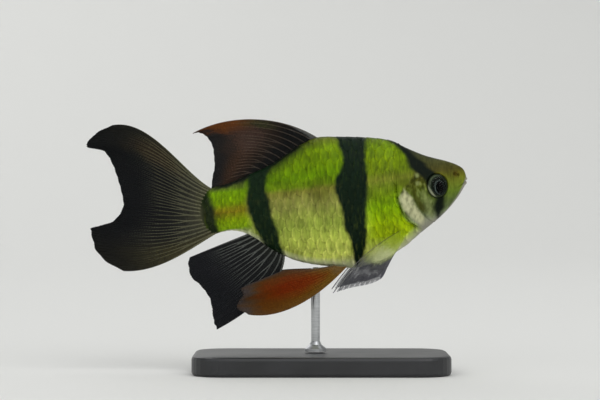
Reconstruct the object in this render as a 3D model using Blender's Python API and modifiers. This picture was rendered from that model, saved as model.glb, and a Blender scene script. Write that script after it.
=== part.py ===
"""A tiger barb at life size, a still museum model on a plain display stand.

Blender 4.5, metres, +Z up. The fish swims towards +X with its head a little up, and its right
side faces -Y. Shapes are worked out in the fish's own level frame, in millimetres: s is the
distance behind the snout, h the height above the snout and y the distance to its left.
The origin is on the floor, under the middle of the model.
"""
import math

import bmesh
import bpy
from mathutils import Matrix, Vector

MM = 0.001

# Pose and place
PITCH = math.radians(7.0)
SNOUT_X = 34.15
SNOUT_Z = 34.9
GAP = 0.3

# Body, from the snout to the end of the tail stalk
STANDARD_LENGTH = 48.1
TAIL_STALK_START = 40.0
HYPURAL_CURVE = 1.9
BACK = [(0.0, 0.0), (0.3, 1.6), (1.2, 2.5), (2.9, 3.4), (6.7, 4.9), (9.8, 6.6), (12.8, 8.4), (17.1, 9.5),
        (22.4, 10.3), (25.3, 10.6), (29.0, 9.6), (34.4, 6.8), (38.6, 5.4), (43.3, 4.15), (48.1, 3.6)]
BELLY = [(0.0, 0.0), (0.7, -1.6), (1.9, -3.1), (5.1, -6.0), (9.8, -9.0), (12.0, -10.5), (15.1, -12.0),
         (17.8, -12.9), (21.6, -13.5), (26.8, -12.6), (31.6, -11.2), (35.8, -8.8), (39.6, -5.6),
         (41.6, -4.5), (43.6, -4.1), (46.4, -4.5), (48.1, -4.8)]
HALF_WIDTH = [(0.0, 0.0), (0.3, 0.95), (1.2, 1.8), (2.9, 2.75), (4.9, 3.5), (8.0, 4.15), (12.0, 4.5),
              (16.0, 4.6), (22.0, 4.4), (28.0, 3.9), (34.0, 2.9), (38.6, 2.1), (43.0, 1.45), (48.1, 0.85)]
SECTION_POWER = [(0.0, 0.9), (5.0, 0.85), (12.0, 1.0), (25.0, 1.15), (40.0, 1.0), (48.1, 0.9)]
WIDEST_LEVEL = 0.52
GILL_EDGE = [(0.0, 8.7), (0.1, 9.8), (0.22, 11.3), (0.35, 12.4), (0.5, 12.8), (0.8, 12.1), (1.0, 10.6)]
GILL_SLIT = 0.36
GILL_COVER_LIFT = 0.25
GILL_COVER_REACH = 3.0

# Head features
EYE_S = 5.2
EYE_H = -0.5
EYE_Y = 2.85
EYE_RADII = (2.05, 1.3, 2.2)
EYE_TURN = math.radians(12.0)
MOUTH_TIP_H = -0.35
MOUTH_CORNER = (1.9, -1.6)
MOUTH_SLIT = 0.2
MOUTH_REACH = 1.0
LIP_RADIUS = 0.38
LIP_OFFSET = 0.3
LIP_INSET = 0.18
LIP_TAPER = 0.6
NOSTRILS = [(1.55, 1.25, 0.26), (2.15, 1.45, 0.36)]
NOSTRIL_DEPTH = 0.4

# Fins: each key ray is (place across the fin, root, bend, lift, tip), as (s, h, y)
MEMBRANE = 0.48
EDGE_MEMBRANE = 0.36
RAY_RIDGE = 0.34
RAY_TIP_RIDGE = 0.16
FORKED_RIDGE = 0.85
FORK_START = 0.45
FORK_END = 0.65
ROOT_REACH = 0.25
MARGIN_NOTCH = 0.02
CAUDAL_ROOT = 1.3
MEDIAN_ROOT = 0.9
PAIRED_ROOT = 0.8
CAUDAL_KEYS = [
    (0.00, (46.2, 4.2, 0), (50.7, 7.3, 0), (55.2, 17.8, 0), (62.2, 17.2, 0)),
    (0.07, (46.7, 3.8, 0), (51.1, 7.0, 0), (55.4, 16.6, 0), (65.0, 16.3, 0)),
    (0.14, (47.2, 3.4, 0), (51.5, 6.5, 0), (55.6, 14.8, 0), (67.3, 14.2, 0)),
    (0.25, (47.8, 2.6, 0), (51.4, 4.9, 0), (55.1, 10.2, 0), (64.2, 12.8, 0)),
    (0.40, (48.4, 1.1, 0), (51.6, 2.7, 0), (55.8, 5.8, 0), (62.5, 8.4, 0)),
    (0.57, (48.5, -0.5, 0), (51.9, 0.4, 0), (56.2, 2.2, 0), (61.8, 3.2, 0)),
    (0.70, (48.1, -2.0, 0), (51.9, -2.3, 0), (57.7, -2.2, 0), (64.3, 0.0, 0)),
    (0.79, (47.7, -2.9, 0), (52.4, -3.9, 0), (58.7, -4.4, 0), (68.3, -0.8, 0)),
    (0.88, (47.1, -3.6, 0), (52.3, -5.4, 0), (58.2, -6.8, 0), (68.0, -4.1, 0)),
    (0.94, (46.6, -4.2, 0), (51.6, -5.9, 0), (57.7, -8.5, 0), (66.4, -6.8, 0)),
    (1.00, (46.0, -4.8, 0), (50.9, -6.5, 0), (57.2, -10.2, 0), (63.4, -9.0, 0)),
]
DORSAL_KEYS = [
    (0.00, (25.4, 10.6, 0), (31.2, 15.2, 0), (40.8, 16.9, 0), (47.9, 14.0, 0)),
    (0.12, (26.9, 10.4, 0), (31.5, 14.1, 0), (40.0, 15.8, 0), (47.1, 14.1, 0)),
    (0.30, (29.4, 9.4, 0), (32.3, 12.1, 0), (38.5, 13.6, 0), (45.6, 13.2, 0)),
    (0.50, (31.9, 7.9, 0), (34.4, 10.4, 0), (38.8, 11.1, 0), (44.6, 10.7, 0)),
    (0.70, (34.5, 6.6, 0), (36.0, 8.6, 0), (40.0, 8.7, 0), (44.7, 7.9, 0)),
    (0.87, (36.9, 5.9, 0), (38.4, 7.0, 0), (41.2, 6.6, 0), (45.4, 5.8, 0)),
    (1.00, (38.8, 5.5, 0), (40.5, 5.6, 0), (43.1, 4.8, 0), (45.5, 4.4, 0)),
]
ANAL_KEYS = [
    (0.00, (34.3, -10.1, 0), (34.2, -13.4, 0), (39.3, -18.2, 0), (47.9, -21.5, 0)),
    (0.15, (34.8, -9.7, 0), (35.7, -12.5, 0), (41.3, -16.3, 0), (48.3, -20.0, 0)),
    (0.35, (36.0, -8.7, 0), (37.8, -10.4, 0), (42.7, -13.4, 0), (48.4, -16.5, 0)),
    (0.55, (37.1, -7.7, 0), (39.1, -8.8, 0), (44.2, -10.9, 0), (49.6, -13.7, 0)),
    (0.75, (38.3, -6.6, 0), (40.7, -7.5, 0), (45.4, -8.6, 0), (51.5, -11.1, 0)),
    (0.90, (39.1, -5.9, 0), (41.9, -6.5, 0), (45.9, -7.1, 0), (51.6, -8.7, 0)),
    (1.00, (39.6, -5.5, 0), (42.7, -5.9, 0), (46.9, -6.5, 0), (51.3, -7.4, 0)),
]
PELVIC_KEYS = [
    (0.00, (23.5, -13.6, 1.5), (28.2, -17.2, 2.5), (35.5, -21.2, 3.9), (41.8, -19.3, 4.6)),
    (0.20, (23.9, -13.6, 1.45), (28.2, -16.1, 2.4), (35.3, -19.3, 3.7), (43.7, -17.9, 4.4)),
    (0.45, (24.4, -13.5, 1.4), (28.2, -15.2, 2.3), (35.9, -17.2, 3.4), (43.1, -16.7, 4.1)),
    (0.70, (24.9, -13.4, 1.35), (28.5, -14.3, 2.2), (36.1, -15.3, 3.1), (42.3, -15.7, 3.7)),
    (0.86, (25.2, -13.3, 1.3), (28.7, -13.6, 2.1), (36.2, -13.5, 2.8), (42.6, -14.7, 3.4)),
    (1.00, (25.5, -13.2, 1.3), (28.4, -13.2, 1.9), (31.9, -12.4, 2.5), (35.1, -12.4, 3.0)),
]
PECTORAL_KEYS = [
    (0.00, (12.7, -7.6, 3.9), (15.9, -9.0, 5.4), (20.9, -10.7, 7.4), (26.4, -17.2, 8.6)),
    (0.25, (12.7, -7.9, 3.8), (15.8, -9.9, 5.2), (20.1, -12.7, 6.9), (23.2, -16.7, 8.0)),
    (0.50, (12.6, -8.3, 3.6), (15.3, -10.5, 4.9), (18.7, -13.4, 6.3), (20.3, -16.5, 7.3)),
    (0.75, (12.5, -8.7, 3.4), (14.6, -10.7, 4.6), (16.8, -13.1, 5.6), (17.7, -15.8, 6.5)),
    (1.00, (12.4, -9.1, 3.2), (13.7, -10.7, 4.2), (15.2, -12.2, 4.8), (16.2, -13.9, 5.3)),
]

# Display stand
BASE_LENGTH = 46.0
BASE_WIDTH = 26.0
BASE_THICKNESS = 3.5
BASE_X = 8.0
BASE_CORNER = 6.0
BASE_BEVEL = 0.6
ROD_RADIUS = 0.8
ROD_X = 7.0
ROD_CLEARANCE = 0.48
ROD_EDGE = 0.3
COLLAR_RADIUS = 2.0
COLLAR_RIM = 0.5
COLLAR_HEIGHT = 1.2


def smooth_curve(points):
    """A curve through (x, y) points as a function of x, smooth and without overshoot."""
    xs = [point[0] for point in points]
    ys = [point[1] for point in points]
    steps = [b - a for a, b in zip(xs, xs[1:])]
    secants = [(b - a) / step for a, b, step in zip(ys, ys[1:], steps)]
    slopes = [secants[0]]
    for i in range(1, len(secants)):
        before, after = secants[i - 1], secants[i]
        if before * after <= 0:
            slopes.append(0.0)
            continue
        w1 = 2 * steps[i] + steps[i - 1]
        w2 = steps[i] + 2 * steps[i - 1]
        slopes.append((w1 + w2) / (w1 / before + w2 / after))
    slopes.append(secants[-1])

    def value(x):
        x = min(max(x, xs[0]), xs[-1])
        i = max(k for k in range(len(steps)) if k == 0 or xs[k] <= x)
        u = (x - xs[i]) / steps[i]
        blend = u * u * (3 - 2 * u)
        rise = u * (1 - u) ** 2
        fall = u * u * (u - 1)
        return ys[i] * (1 - blend) + ys[i + 1] * blend + steps[i] * (rise * slopes[i] + fall * slopes[i + 1])

    return value


def along_root(points):
    """A profile read against the root of s, which rounds the snout."""
    curve = smooth_curve([(math.sqrt(s), value) for s, value in points])
    return lambda s: curve(math.sqrt(max(s, 0.0)))


back = along_root(BACK)
belly = along_root(BELLY)
half_width = along_root(HALF_WIDTH)
section_power = smooth_curve(SECTION_POWER)
gill_edge = smooth_curve(GILL_EDGE)


def side(s, t):
    """Half the body's width at s, a share t of the way up from belly to back."""
    t = min(max(t, 0.0), 1.0) ** (math.log(0.5) / math.log(WIDEST_LEVEL))
    return half_width(s) * (2 * math.sqrt(t * (1 - t))) ** section_power(s)


def height(s, t):
    return belly(s) + (back(s) - belly(s)) * t


def side_at(s, h):
    """Half the body's width at the point (s, h) of its side view."""
    return side(s, (h - belly(s)) / (back(s) - belly(s)))


def ease(x):
    x = min(max(x, 0.0), 1.0)
    return x * x * (3 - 2 * x)


def gill_cover_side(s, t):
    """The head's half width, with the gill cover standing a little proud at its rear edge."""
    near_edge = ease(1 - (gill_edge(t) - s) / GILL_COVER_REACH)
    on_cover = ease(t / 0.15) * ease((0.85 - t) / 0.2)
    return side(s, t) + GILL_COVER_LIFT * near_edge * on_cover


def place(s, h, y):
    """A point of the level frame in the world, in metres."""
    x = SNOUT_X - s * math.cos(PITCH) - h * math.sin(PITCH)
    z = SNOUT_Z - s * math.sin(PITCH) + h * math.cos(PITCH)
    return Vector((x, y, z)) * MM


def material(name, colour, roughness, metallic=0.0):
    made = bpy.data.materials.new(name)
    made.use_nodes = True
    shader = made.node_tree.nodes["Principled BSDF"]
    shader.inputs["Base Color"].default_value = (*colour, 1.0)
    shader.inputs["Roughness"].default_value = roughness
    shader.inputs["Metallic"].default_value = metallic
    return made


def add_object(name, mesh, collection, finish=None):
    added = bpy.data.objects.new(name, mesh)
    collection.objects.link(added)
    if finish is not None:
        mesh.materials.append(finish)
    mesh.shade_smooth()
    return added


def finish_mesh(bm, name):
    bmesh.ops.remove_doubles(bm, verts=bm.verts, dist=1e-6)
    bmesh.ops.recalc_face_normals(bm, faces=bm.faces)
    mesh = bpy.data.meshes.new(name)
    bm.to_mesh(mesh)
    bm.free()
    return mesh


def body_length(name, front, rear, width, rings, steps, spread=1.0):
    """A closed length of the body between two edges, each given as s against t."""
    bm = bmesh.new()
    rows = []
    for i in range(rings + 1):
        share = (i / rings) ** spread
        right, left = [], []
        for j in range(steps + 1):
            t = 0.5 - 0.5 * math.cos(math.pi * j / steps)
            s = front(t) + (rear(t) - front(t)) * share
            y = width(s, t)
            right.append(bm.verts.new(place(s, height(s, t), -y)))
            left.append(bm.verts.new(place(s, height(s, t), y)))
        rows.append((right, left))
    for (right, left), (next_right, next_left) in zip(rows, rows[1:]):
        for j in range(steps):
            bm.faces.new((right[j], right[j + 1], next_right[j + 1], next_right[j]))
            bm.faces.new((left[j], next_left[j], next_left[j + 1], left[j + 1]))
    for right, left in (rows[0], rows[-1]):
        for j in range(steps):
            bm.faces.new((right[j], left[j], left[j + 1], right[j + 1]))
    bmesh.ops.remove_doubles(bm, verts=bm.verts, dist=1e-6)
    bmesh.ops.dissolve_degenerate(bm, edges=bm.edges, dist=1e-7)
    mesh = finish_mesh(bm, name)
    mesh.set_sharp_from_angle(angle=math.radians(50))
    return mesh


def ellipsoid(name, centre, radii, turn, segments, rings):
    """A closed ellipsoid with radii along the body, across it and up, turned about the vertical."""
    bm = bmesh.new()
    bmesh.ops.create_uvsphere(bm, u_segments=segments, v_segments=rings, radius=MM)
    shape = Matrix.Translation(place(*centre)) @ Matrix.Rotation(-PITCH, 4, "Y")
    shape = shape @ Matrix.Rotation(turn, 4, "Z") @ Matrix.Diagonal((*radii, 1.0))
    bmesh.ops.transform(bm, matrix=shape, verts=bm.verts)
    return finish_mesh(bm, name)


def mouth_line(s, offset):
    """Height of the mouth's line at s, moved up by an offset."""
    return MOUTH_TIP_H + (MOUTH_CORNER[1] - MOUTH_TIP_H) * s / MOUTH_CORNER[0] + offset


def lip_front(offset):
    """How far back the front of a lip lies, where its line leaves the outline of the snout."""
    s = 0.05
    while mouth_line(s, offset) < belly(s) + 0.1:
        s += 0.02
    return s


def lip(name, offset, collection):
    """A lip: a round roll that follows the snout from corner to corner beside the mouth's line."""
    front = lip_front(offset)
    curve = bpy.data.curves.new(name, "CURVE")
    curve.dimensions = "3D"
    curve.bevel_depth = LIP_RADIUS * MM
    curve.bevel_resolution = 2
    curve.use_fill_caps = True
    spline = curve.splines.new("POLY")
    half = 7
    spline.points.add(2 * half)
    for i in range(2 * half + 1):
        across = (i - half) / half
        outer_s = front + (MOUTH_CORNER[0] - front) * across * across
        h = mouth_line(outer_s, offset)
        outer_y = side_at(outer_s, h) if i != half else 0.0
        s = outer_s + LIP_INSET * (1 - abs(across))
        y = math.copysign(outer_y - LIP_INSET * abs(across), across)
        spline.points[i].co = (*place(s, h, y), 1.0)
        spline.points[i].radius = 1.0 - LIP_TAPER * across ** 4
    rolled = bpy.data.objects.new(name, curve)
    collection.objects.link(rolled)
    bpy.context.view_layer.update()
    mesh = bpy.data.meshes.new_from_object(rolled.evaluated_get(bpy.context.evaluated_depsgraph_get()))
    bpy.data.objects.remove(rolled)
    bm = bmesh.new()
    bm.from_mesh(mesh)
    bpy.data.meshes.remove(mesh)
    return add_object(name, finish_mesh(bm, name), collection)


def mouth_slit(collection):
    """The cutter of the mouth: a thin plate from in front of the snout to the corners."""
    bm = bmesh.new()
    bmesh.ops.create_cube(bm, size=MM)
    start = Vector((-MOUTH_REACH, mouth_line(-MOUTH_REACH, 0.0)))
    end = Vector(MOUTH_CORNER)
    middle = (start + end) / 2
    fall = math.atan2(start.y - end.y, end.x - start.x)
    shape = Matrix.Translation(place(middle.x, middle.y, 0)) @ Matrix.Rotation(-PITCH - fall, 4, "Y")
    across = 2 * half_width(STANDARD_LENGTH / 2)
    shape = shape @ Matrix.Diagonal(((end - start).length, across, MOUTH_SLIT, 1.0))
    bmesh.ops.transform(bm, matrix=shape, verts=bm.verts)
    return add_object("mouth_slit", finish_mesh(bm, "mouth_slit"), collection)


def apply_modifiers(target):
    bpy.context.view_layer.update()
    mesh = bpy.data.meshes.new_from_object(target.evaluated_get(bpy.context.evaluated_depsgraph_get()))
    target.modifiers.clear()
    target.data = mesh
    mesh.name = target.name


def keep_largest(target):
    """Removes every closed surface but the largest."""
    bm = bmesh.new()
    bm.from_mesh(target.data)
    left = set(bm.verts)
    shells = []
    while left:
        shell = {left.pop()}
        edge = list(shell)
        while edge:
            vert = edge.pop()
            near = {e.other_vert(vert) for e in vert.link_edges} - shell
            shell |= near
            edge.extend(near)
        left -= shell
        shells.append(shell)
    largest = max(shells, key=len)
    loose = [vert for vert in bm.verts if vert not in largest]
    bmesh.ops.delete(bm, geom=loose, context="VERTS")
    bm.to_mesh(target.data)
    bm.free()


def make_head(parts, cutters, finish):
    """The head: the snout and gill covers, with lips, mouth, nostrils and the sockets of the eyes."""
    mesh = body_length("head", lambda t: 0.0, gill_edge, gill_cover_side, rings=16, steps=18, spread=2.0)
    head = add_object("head", mesh, parts, finish)
    lips = bpy.data.collections.new("lips")
    bpy.context.scene.collection.children.link(lips)
    lip("upper_lip", LIP_OFFSET, lips)
    lip("lower_lip", -LIP_OFFSET, lips)
    union = head.modifiers.new("lips", "BOOLEAN")
    union.operation = "UNION"
    union.operand_type = "COLLECTION"
    union.collection = lips
    apply_modifiers(head)
    for roll in list(lips.objects):
        bpy.data.objects.remove(roll)
    bpy.data.collections.remove(lips)

    holes = [mouth_slit(cutters)]
    for y, side_name in ((-1, "right"), (1, "left")):
        name = "socket_" + side_name
        radii = [radius + GAP for radius in EYE_RADII]
        socket = ellipsoid(name, (EYE_S, EYE_H, y * EYE_Y), radii, -y * EYE_TURN, 20, 12)
        holes.append(add_object(name, socket, cutters))
        for number, (s, h, radius) in enumerate(NOSTRILS):
            name = f"nostril_{side_name}_{number + 1}"
            pit = ellipsoid(name, (s, h, y * side_at(s, h)), (radius, NOSTRIL_DEPTH, radius), 0.0, 8, 6)
            holes.append(add_object(name, pit, cutters))
    for hole in holes:
        cut = head.modifiers.new(hole.name, "BOOLEAN")
        cut.operation = "DIFFERENCE"
        cut.object = hole
    apply_modifiers(head)
    keep_largest(head)
    head.data.shade_smooth()
    head.data.set_sharp_from_angle(angle=math.radians(40))


def make_torso(parts, finish):
    """The trunk, from behind the gill covers to the tail stalk."""
    front = lambda t: gill_edge(t) + GILL_SLIT
    mesh = body_length("torso", front, lambda t: TAIL_STALK_START - GAP, side, rings=18, steps=18)
    add_object("torso", mesh, parts, finish)


def stalk_end(t):
    """The rounded rear edge of the tail stalk."""
    return STANDARD_LENGTH - HYPURAL_CURVE * (2 * t - 1) ** 2


def make_tail_stalk(parts, finish):
    mesh = body_length("tail_stalk", lambda t: TAIL_STALK_START, stalk_end, side, rings=6, steps=14)
    add_object("tail_stalk", mesh, parts, finish)


def make_eye(name, y, parts, finish):
    mesh = ellipsoid(name, (EYE_S, EYE_H, y * EYE_Y), EYE_RADII, -y * EYE_TURN, 20, 12)
    add_object(name, mesh, parts, finish)


def key_curves(keys):
    """One smooth curve across the fin for each coordinate of root, bend, lift and tip."""
    across = [key[0] for key in keys]
    curves = []
    for point in range(1, 5):
        axes = [[key[point][axis] for key in keys] for axis in range(3)]
        curves.append([smooth_curve(list(zip(across, values))) for values in axes])
    return curves


def ray_point(controls, along):
    """A point of a ray: a cubic curve through root, bend, lift and tip."""
    rest = 1 - along
    weights = (rest ** 3, 3 * rest ** 2 * along, 3 * rest * along ** 2, along ** 3)
    return sum((weight * point for weight, point in zip(weights, controls)), Vector((0, 0, 0)))


def ridge(column, columns_per_ray, rays, simple, along):
    """How far a ray stands up at a column of the fin, from 0 to 1. A branched ray parts in two."""
    ray, step = divmod(column, columns_per_ray)
    if 2 * step == columns_per_ray:
        return 0.0
    if 2 * step > columns_per_ray:
        ray += 1
    branched = columns_per_ray == 4 and simple[0] <= ray < rays - simple[1]
    parted = ease((along - FORK_START) / (FORK_END - FORK_START)) if branched else 0.0
    return 1 - parted if step in (0, columns_per_ray) else FORKED_RIDGE * parted


def make_fin(name, parts, finish, keys, rays, rows, root, root_thickness, simple=None, wave=0.3, mirror=1):
    """A fin: rays side by side in one sheet, raised as ridges, thickest at the root.

    The root gives each ray's start on the body, and simple counts the unbranched rays in front
    and behind. A fin without it has only unbranched rays.
    """
    columns_per_ray = 2 if simple is None else 4
    columns = columns_per_ray * (rays - 1)
    curves = key_curves(keys)
    bm = bmesh.new()
    bmesh.ops.create_grid(bm, x_segments=columns, y_segments=rows, size=1.0)
    thicknesses = []
    for vert in bm.verts:
        across = (vert.co.x + 1) / 2
        along = (vert.co.y + 1) / 2
        rise = ridge(round(across * columns), columns_per_ray, rays, simple, along)
        controls = [Vector([curve(across) for curve in axes]) for axes in curves]
        controls[0] = root(controls[0], root_thickness)
        point = ray_point(controls, along * (1 - MARGIN_NOTCH * (1 - ease(2 * rise))))
        point.z += wave * along ** 2 * math.sin(2 * math.pi * (1.3 * across + 0.4 * along))
        vert.co = place(point.x, point.y, mirror * point.z)
        thickness = MEMBRANE + (EDGE_MEMBRANE - MEMBRANE) * along
        thickness += (RAY_RIDGE + (RAY_TIP_RIDGE - RAY_RIDGE) * along) * rise
        thicknesses.append(max(thickness, root_thickness * (1 - ease(along / ROOT_REACH))))
    bmesh.ops.triangulate(bm, faces=bm.faces, quad_method="FIXED")
    mesh = bpy.data.meshes.new(name)
    bm.to_mesh(mesh)
    bm.free()
    fin = add_object(name, mesh, parts, finish)
    group = fin.vertex_groups.new(name="thickness")
    thickest = max(thicknesses)
    for index, thickness in enumerate(thicknesses):
        group.add([index], thickness / thickest, "REPLACE")
    shell = fin.modifiers.new("thickness", "SOLIDIFY")
    shell.thickness = thickest * MM
    shell.offset = 0.0
    shell.vertex_group = group.name
    shell.thickness_vertex_group = 0.0


def on_back(point, thickness):
    return Vector((point.x, back(point.x) + GAP, 0.0))


def on_belly(point, thickness):
    return Vector((point.x, belly(point.x) - GAP, 0.0))


def behind_stalk(point, thickness):
    t = (point.y - belly(point.x)) / (back(point.x) - belly(point.x))
    return Vector((stalk_end(t) + GAP, point.y, 0.0))


def under_belly(point, thickness):
    """A start beside the middle of the belly, as far under the skin as the inner face needs."""
    low, high = 0.0, WIDEST_LEVEL
    for _ in range(20):
        t = (low + high) / 2
        if side(point.x, t) < point.z - thickness / 2:
            low = t
        else:
            high = t
    return Vector((point.x, height(point.x, low) - GAP, point.z))


def beside_flank(point, thickness):
    return Vector((point.x, point.y, side_at(point.x, point.y) + GILL_SLIT + thickness / 2))


def make_base(parts, finish):
    """The stand's base: a plain rounded plate."""
    bm = bmesh.new()
    bmesh.ops.create_cube(bm, size=MM)
    bmesh.ops.scale(bm, vec=(BASE_LENGTH, BASE_WIDTH, BASE_THICKNESS), verts=bm.verts)
    bmesh.ops.translate(bm, vec=(BASE_X * MM, 0, BASE_THICKNESS * MM / 2), verts=bm.verts)
    corners = [edge for edge in bm.edges if abs(edge.verts[0].co.z - edge.verts[1].co.z) > MM]
    bmesh.ops.bevel(bm, geom=corners, offset=BASE_CORNER * MM, segments=8, affect="EDGES", profile=0.5)
    base = add_object("stand_base", finish_mesh(bm, "stand_base"), parts, finish)
    base.data.set_sharp_from_angle(angle=math.radians(30))
    edges = base.modifiers.new("edges", "BEVEL")
    edges.width = BASE_BEVEL * MM
    edges.segments = 2
    edges.limit_method = "ANGLE"
    edges.angle_limit = math.radians(40)


def make_rod(parts, finish):
    """The stand's rod: a round rod with a collar at its foot, just short of the belly."""
    s = (SNOUT_X - ROD_X) / math.cos(PITCH)
    s -= belly(s) * math.tan(PITCH)
    top = place(s, belly(s), 0).z / MM - ROD_CLEARANCE
    foot = BASE_THICKNESS + GAP
    shoulder = foot + COLLAR_HEIGHT
    profile = [(0, top), (ROD_RADIUS - ROD_EDGE, top), (ROD_RADIUS, top - ROD_EDGE),
               (ROD_RADIUS, shoulder + 2 * ROD_EDGE), (ROD_RADIUS + ROD_EDGE, shoulder),
               (COLLAR_RADIUS, foot + COLLAR_RIM), (COLLAR_RADIUS, foot), (0, foot)]
    bm = bmesh.new()
    verts = [bm.verts.new((r * MM, 0, z * MM)) for r, z in profile]
    edges = [bm.edges.new(pair) for pair in zip(verts, verts[1:])]
    bmesh.ops.spin(bm, geom=verts + edges, cent=(0, 0, 0), axis=(0, 0, 1), angle=2 * math.pi, steps=20)
    bmesh.ops.translate(bm, vec=(ROD_X * MM, 0, 0), verts=bm.verts)
    mesh = finish_mesh(bm, "stand_rod")
    add_object("stand_rod", mesh, parts, finish)
    mesh.set_sharp_from_angle(angle=math.radians(35))


def main():
    for old in list(bpy.data.objects):
        bpy.data.objects.remove(old)
    parts = bpy.data.collections.new("tiger_barb")
    cutters = bpy.data.collections.new("cutters")
    bpy.context.scene.collection.children.link(parts)
    bpy.context.scene.collection.children.link(cutters)

    skin = material("green scaled skin", (0.15, 0.32, 0.02), 0.35)
    smoky = material("smoky fin membrane", (0.06, 0.06, 0.06), 0.4)
    orange = material("orange fin membrane", (0.42, 0.12, 0.01), 0.4)
    clear = material("colourless fin membrane", (0.25, 0.25, 0.25), 0.4)
    cornea = material("glossy eye", (0.01, 0.012, 0.01), 0.06)
    satin = material("black satin paint", (0.02, 0.02, 0.02), 0.45)
    steel = material("brushed steel", (0.5, 0.5, 0.5), 0.35, 1.0)

    make_head(parts, cutters, skin)
    make_torso(parts, skin)
    make_tail_stalk(parts, skin)
    make_eye("eye_right", -1, parts, cornea)
    make_eye("eye_left", 1, parts, cornea)
    make_fin("caudal_fin", parts, smoky, CAUDAL_KEYS, 19, 13, behind_stalk, CAUDAL_ROOT, simple=(1, 1),
             wave=0.5)
    make_fin("dorsal_fin", parts, smoky, DORSAL_KEYS, 12, 11, on_back, MEDIAN_ROOT, simple=(4, 1))
    make_fin("anal_fin", parts, smoky, ANAL_KEYS, 8, 12, on_belly, MEDIAN_ROOT, simple=(3, 1))
    for name, y in (("right", -1), ("left", 1)):
        make_fin("pelvic_fin_" + name, parts, orange, PELVIC_KEYS, 9, 10, under_belly, PAIRED_ROOT,
                 mirror=y)
        make_fin("pectoral_fin_" + name, parts, clear, PECTORAL_KEYS, 12, 8, beside_flank, PAIRED_ROOT,
                 mirror=y)
    make_base(parts, satin)
    make_rod(parts, steel)

    for cutter in cutters.objects:
        cutter.hide_render = True
        cutter.display_type = "WIRE"


main()
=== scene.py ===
import math

import bmesh
import bpy
import numpy as np
from mathutils import Matrix, Vector


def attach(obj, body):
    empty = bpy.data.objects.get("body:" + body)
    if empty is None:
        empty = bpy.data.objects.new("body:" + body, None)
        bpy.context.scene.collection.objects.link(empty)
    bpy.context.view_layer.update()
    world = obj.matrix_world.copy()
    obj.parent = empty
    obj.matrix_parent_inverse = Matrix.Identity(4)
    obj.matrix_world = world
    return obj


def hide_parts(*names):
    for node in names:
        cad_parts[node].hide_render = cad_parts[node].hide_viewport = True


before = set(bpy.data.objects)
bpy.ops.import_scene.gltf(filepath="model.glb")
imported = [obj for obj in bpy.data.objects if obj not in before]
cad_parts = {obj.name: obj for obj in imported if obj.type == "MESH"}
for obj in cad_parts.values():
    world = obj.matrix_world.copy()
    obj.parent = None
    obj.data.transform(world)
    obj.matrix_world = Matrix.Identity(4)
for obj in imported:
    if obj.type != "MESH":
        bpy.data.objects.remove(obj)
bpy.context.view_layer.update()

scene = bpy.context.scene


# The skin. A barb's skin is one thin wet sheet from the lips to the tail, and on the model it is
# cast in one piece. It is lofted from the outlines of back, belly and width, with the mouth,
# nostrils, eye sockets and gill covers pressed into it. s runs back from the snout, h up from it
# and y to the fish's left, all in millimetres.
MM = 0.001
PITCH = math.radians(7.0)
SNOUT_X = 34.15
SNOUT_Z = 34.9
STANDARD_LENGTH = 48.1
TAIL_STALK_START = 40.0
HYPURAL_CURVE = 1.9
BACK = [(0.0, 0.0), (0.3, 1.6), (1.2, 2.5), (2.9, 3.4), (6.7, 4.9), (9.8, 6.6), (12.8, 8.4), (17.1, 9.5),
        (22.4, 10.3), (25.3, 10.6), (29.0, 9.6), (34.4, 6.8), (38.6, 5.4), (43.3, 4.15), (48.1, 3.6)]
BELLY = [(0.0, 0.0), (0.7, -1.6), (1.9, -3.1), (5.1, -6.0), (9.8, -9.0), (12.0, -10.5), (15.1, -12.0),
         (17.8, -12.9), (21.6, -13.5), (26.8, -12.6), (31.6, -11.2), (35.8, -8.8), (39.6, -5.6),
         (41.6, -4.5), (43.6, -4.1), (46.4, -4.5), (48.1, -4.8)]
HALF_WIDTH = [(0.0, 0.0), (0.3, 0.95), (1.2, 1.8), (2.9, 2.75), (4.9, 3.5), (8.0, 4.15), (12.0, 4.5),
              (16.0, 4.6), (22.0, 4.4), (28.0, 3.9), (34.0, 2.9), (38.6, 2.1), (43.0, 1.45), (48.1, 0.85)]
SECTION_POWER = [(0.0, 0.9), (5.0, 0.85), (12.0, 1.0), (25.0, 1.15), (40.0, 1.0), (48.1, 0.9)]
WIDEST_LEVEL = 0.52
GILL_EDGE = [(0.0, 8.7), (0.1, 9.8), (0.22, 11.3), (0.35, 12.4), (0.5, 12.8), (0.8, 12.1), (1.0, 10.6)]
GILL_RING = 11.0
GILL_SHEAR_SPAN = (3.0, 23.0)
GILL_COVER_LIFT = 0.3
GILL_COVER_REACH = 3.0
GILL_SLIT_DEPTH = 0.18
PREOPERCLE_FOLD = (0.09, 0.12)
PREOPERCLE = [(-7.4, 6.4), (-6.4, 7.9), (-5.3, 8.7), (-3.6, 9.6), (-1.8, 10.0), (0.2, 10.1), (1.6, 9.7)]
EYE = (5.55, -0.68, 2.88)
EYE_RADII = (1.88, 1.3, 2.12)
EYE_TURN = math.radians(12.0)
SOCKET_DEPTH = 0.25
SOCKET_RIM = 0.06
MOUTH_TIP_H = -0.35
MOUTH_CORNER = (1.9, -1.6)
MOUTH_DEPTH = 0.34
MOUTH_HALF_GAP = 0.1
LIP_RISE = 0.15
LIP_OFFSET = 0.32
LIP_HALF_HEIGHT = 0.2
NOSTRILS = [(1.5, 0.8, 0.24), (2.1, 1.0, 0.34)]
NOSTRIL_DEPTH = 0.34
NOSTRIL_RIM = 0.06
TAIL_SHEATH = 0.5
SHEATH_START = 47.0
SHEATH_THINNING = 0.95
SHEATH_LOWERING = 0.03
HALF_STEPS = 104
SCALE_PITCH = [(0.0, 1.8), (14.0, 1.75), (26.0, 1.7), (38.0, 1.5), (48.0, 1.25), (51.0, 1.2)]


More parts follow.
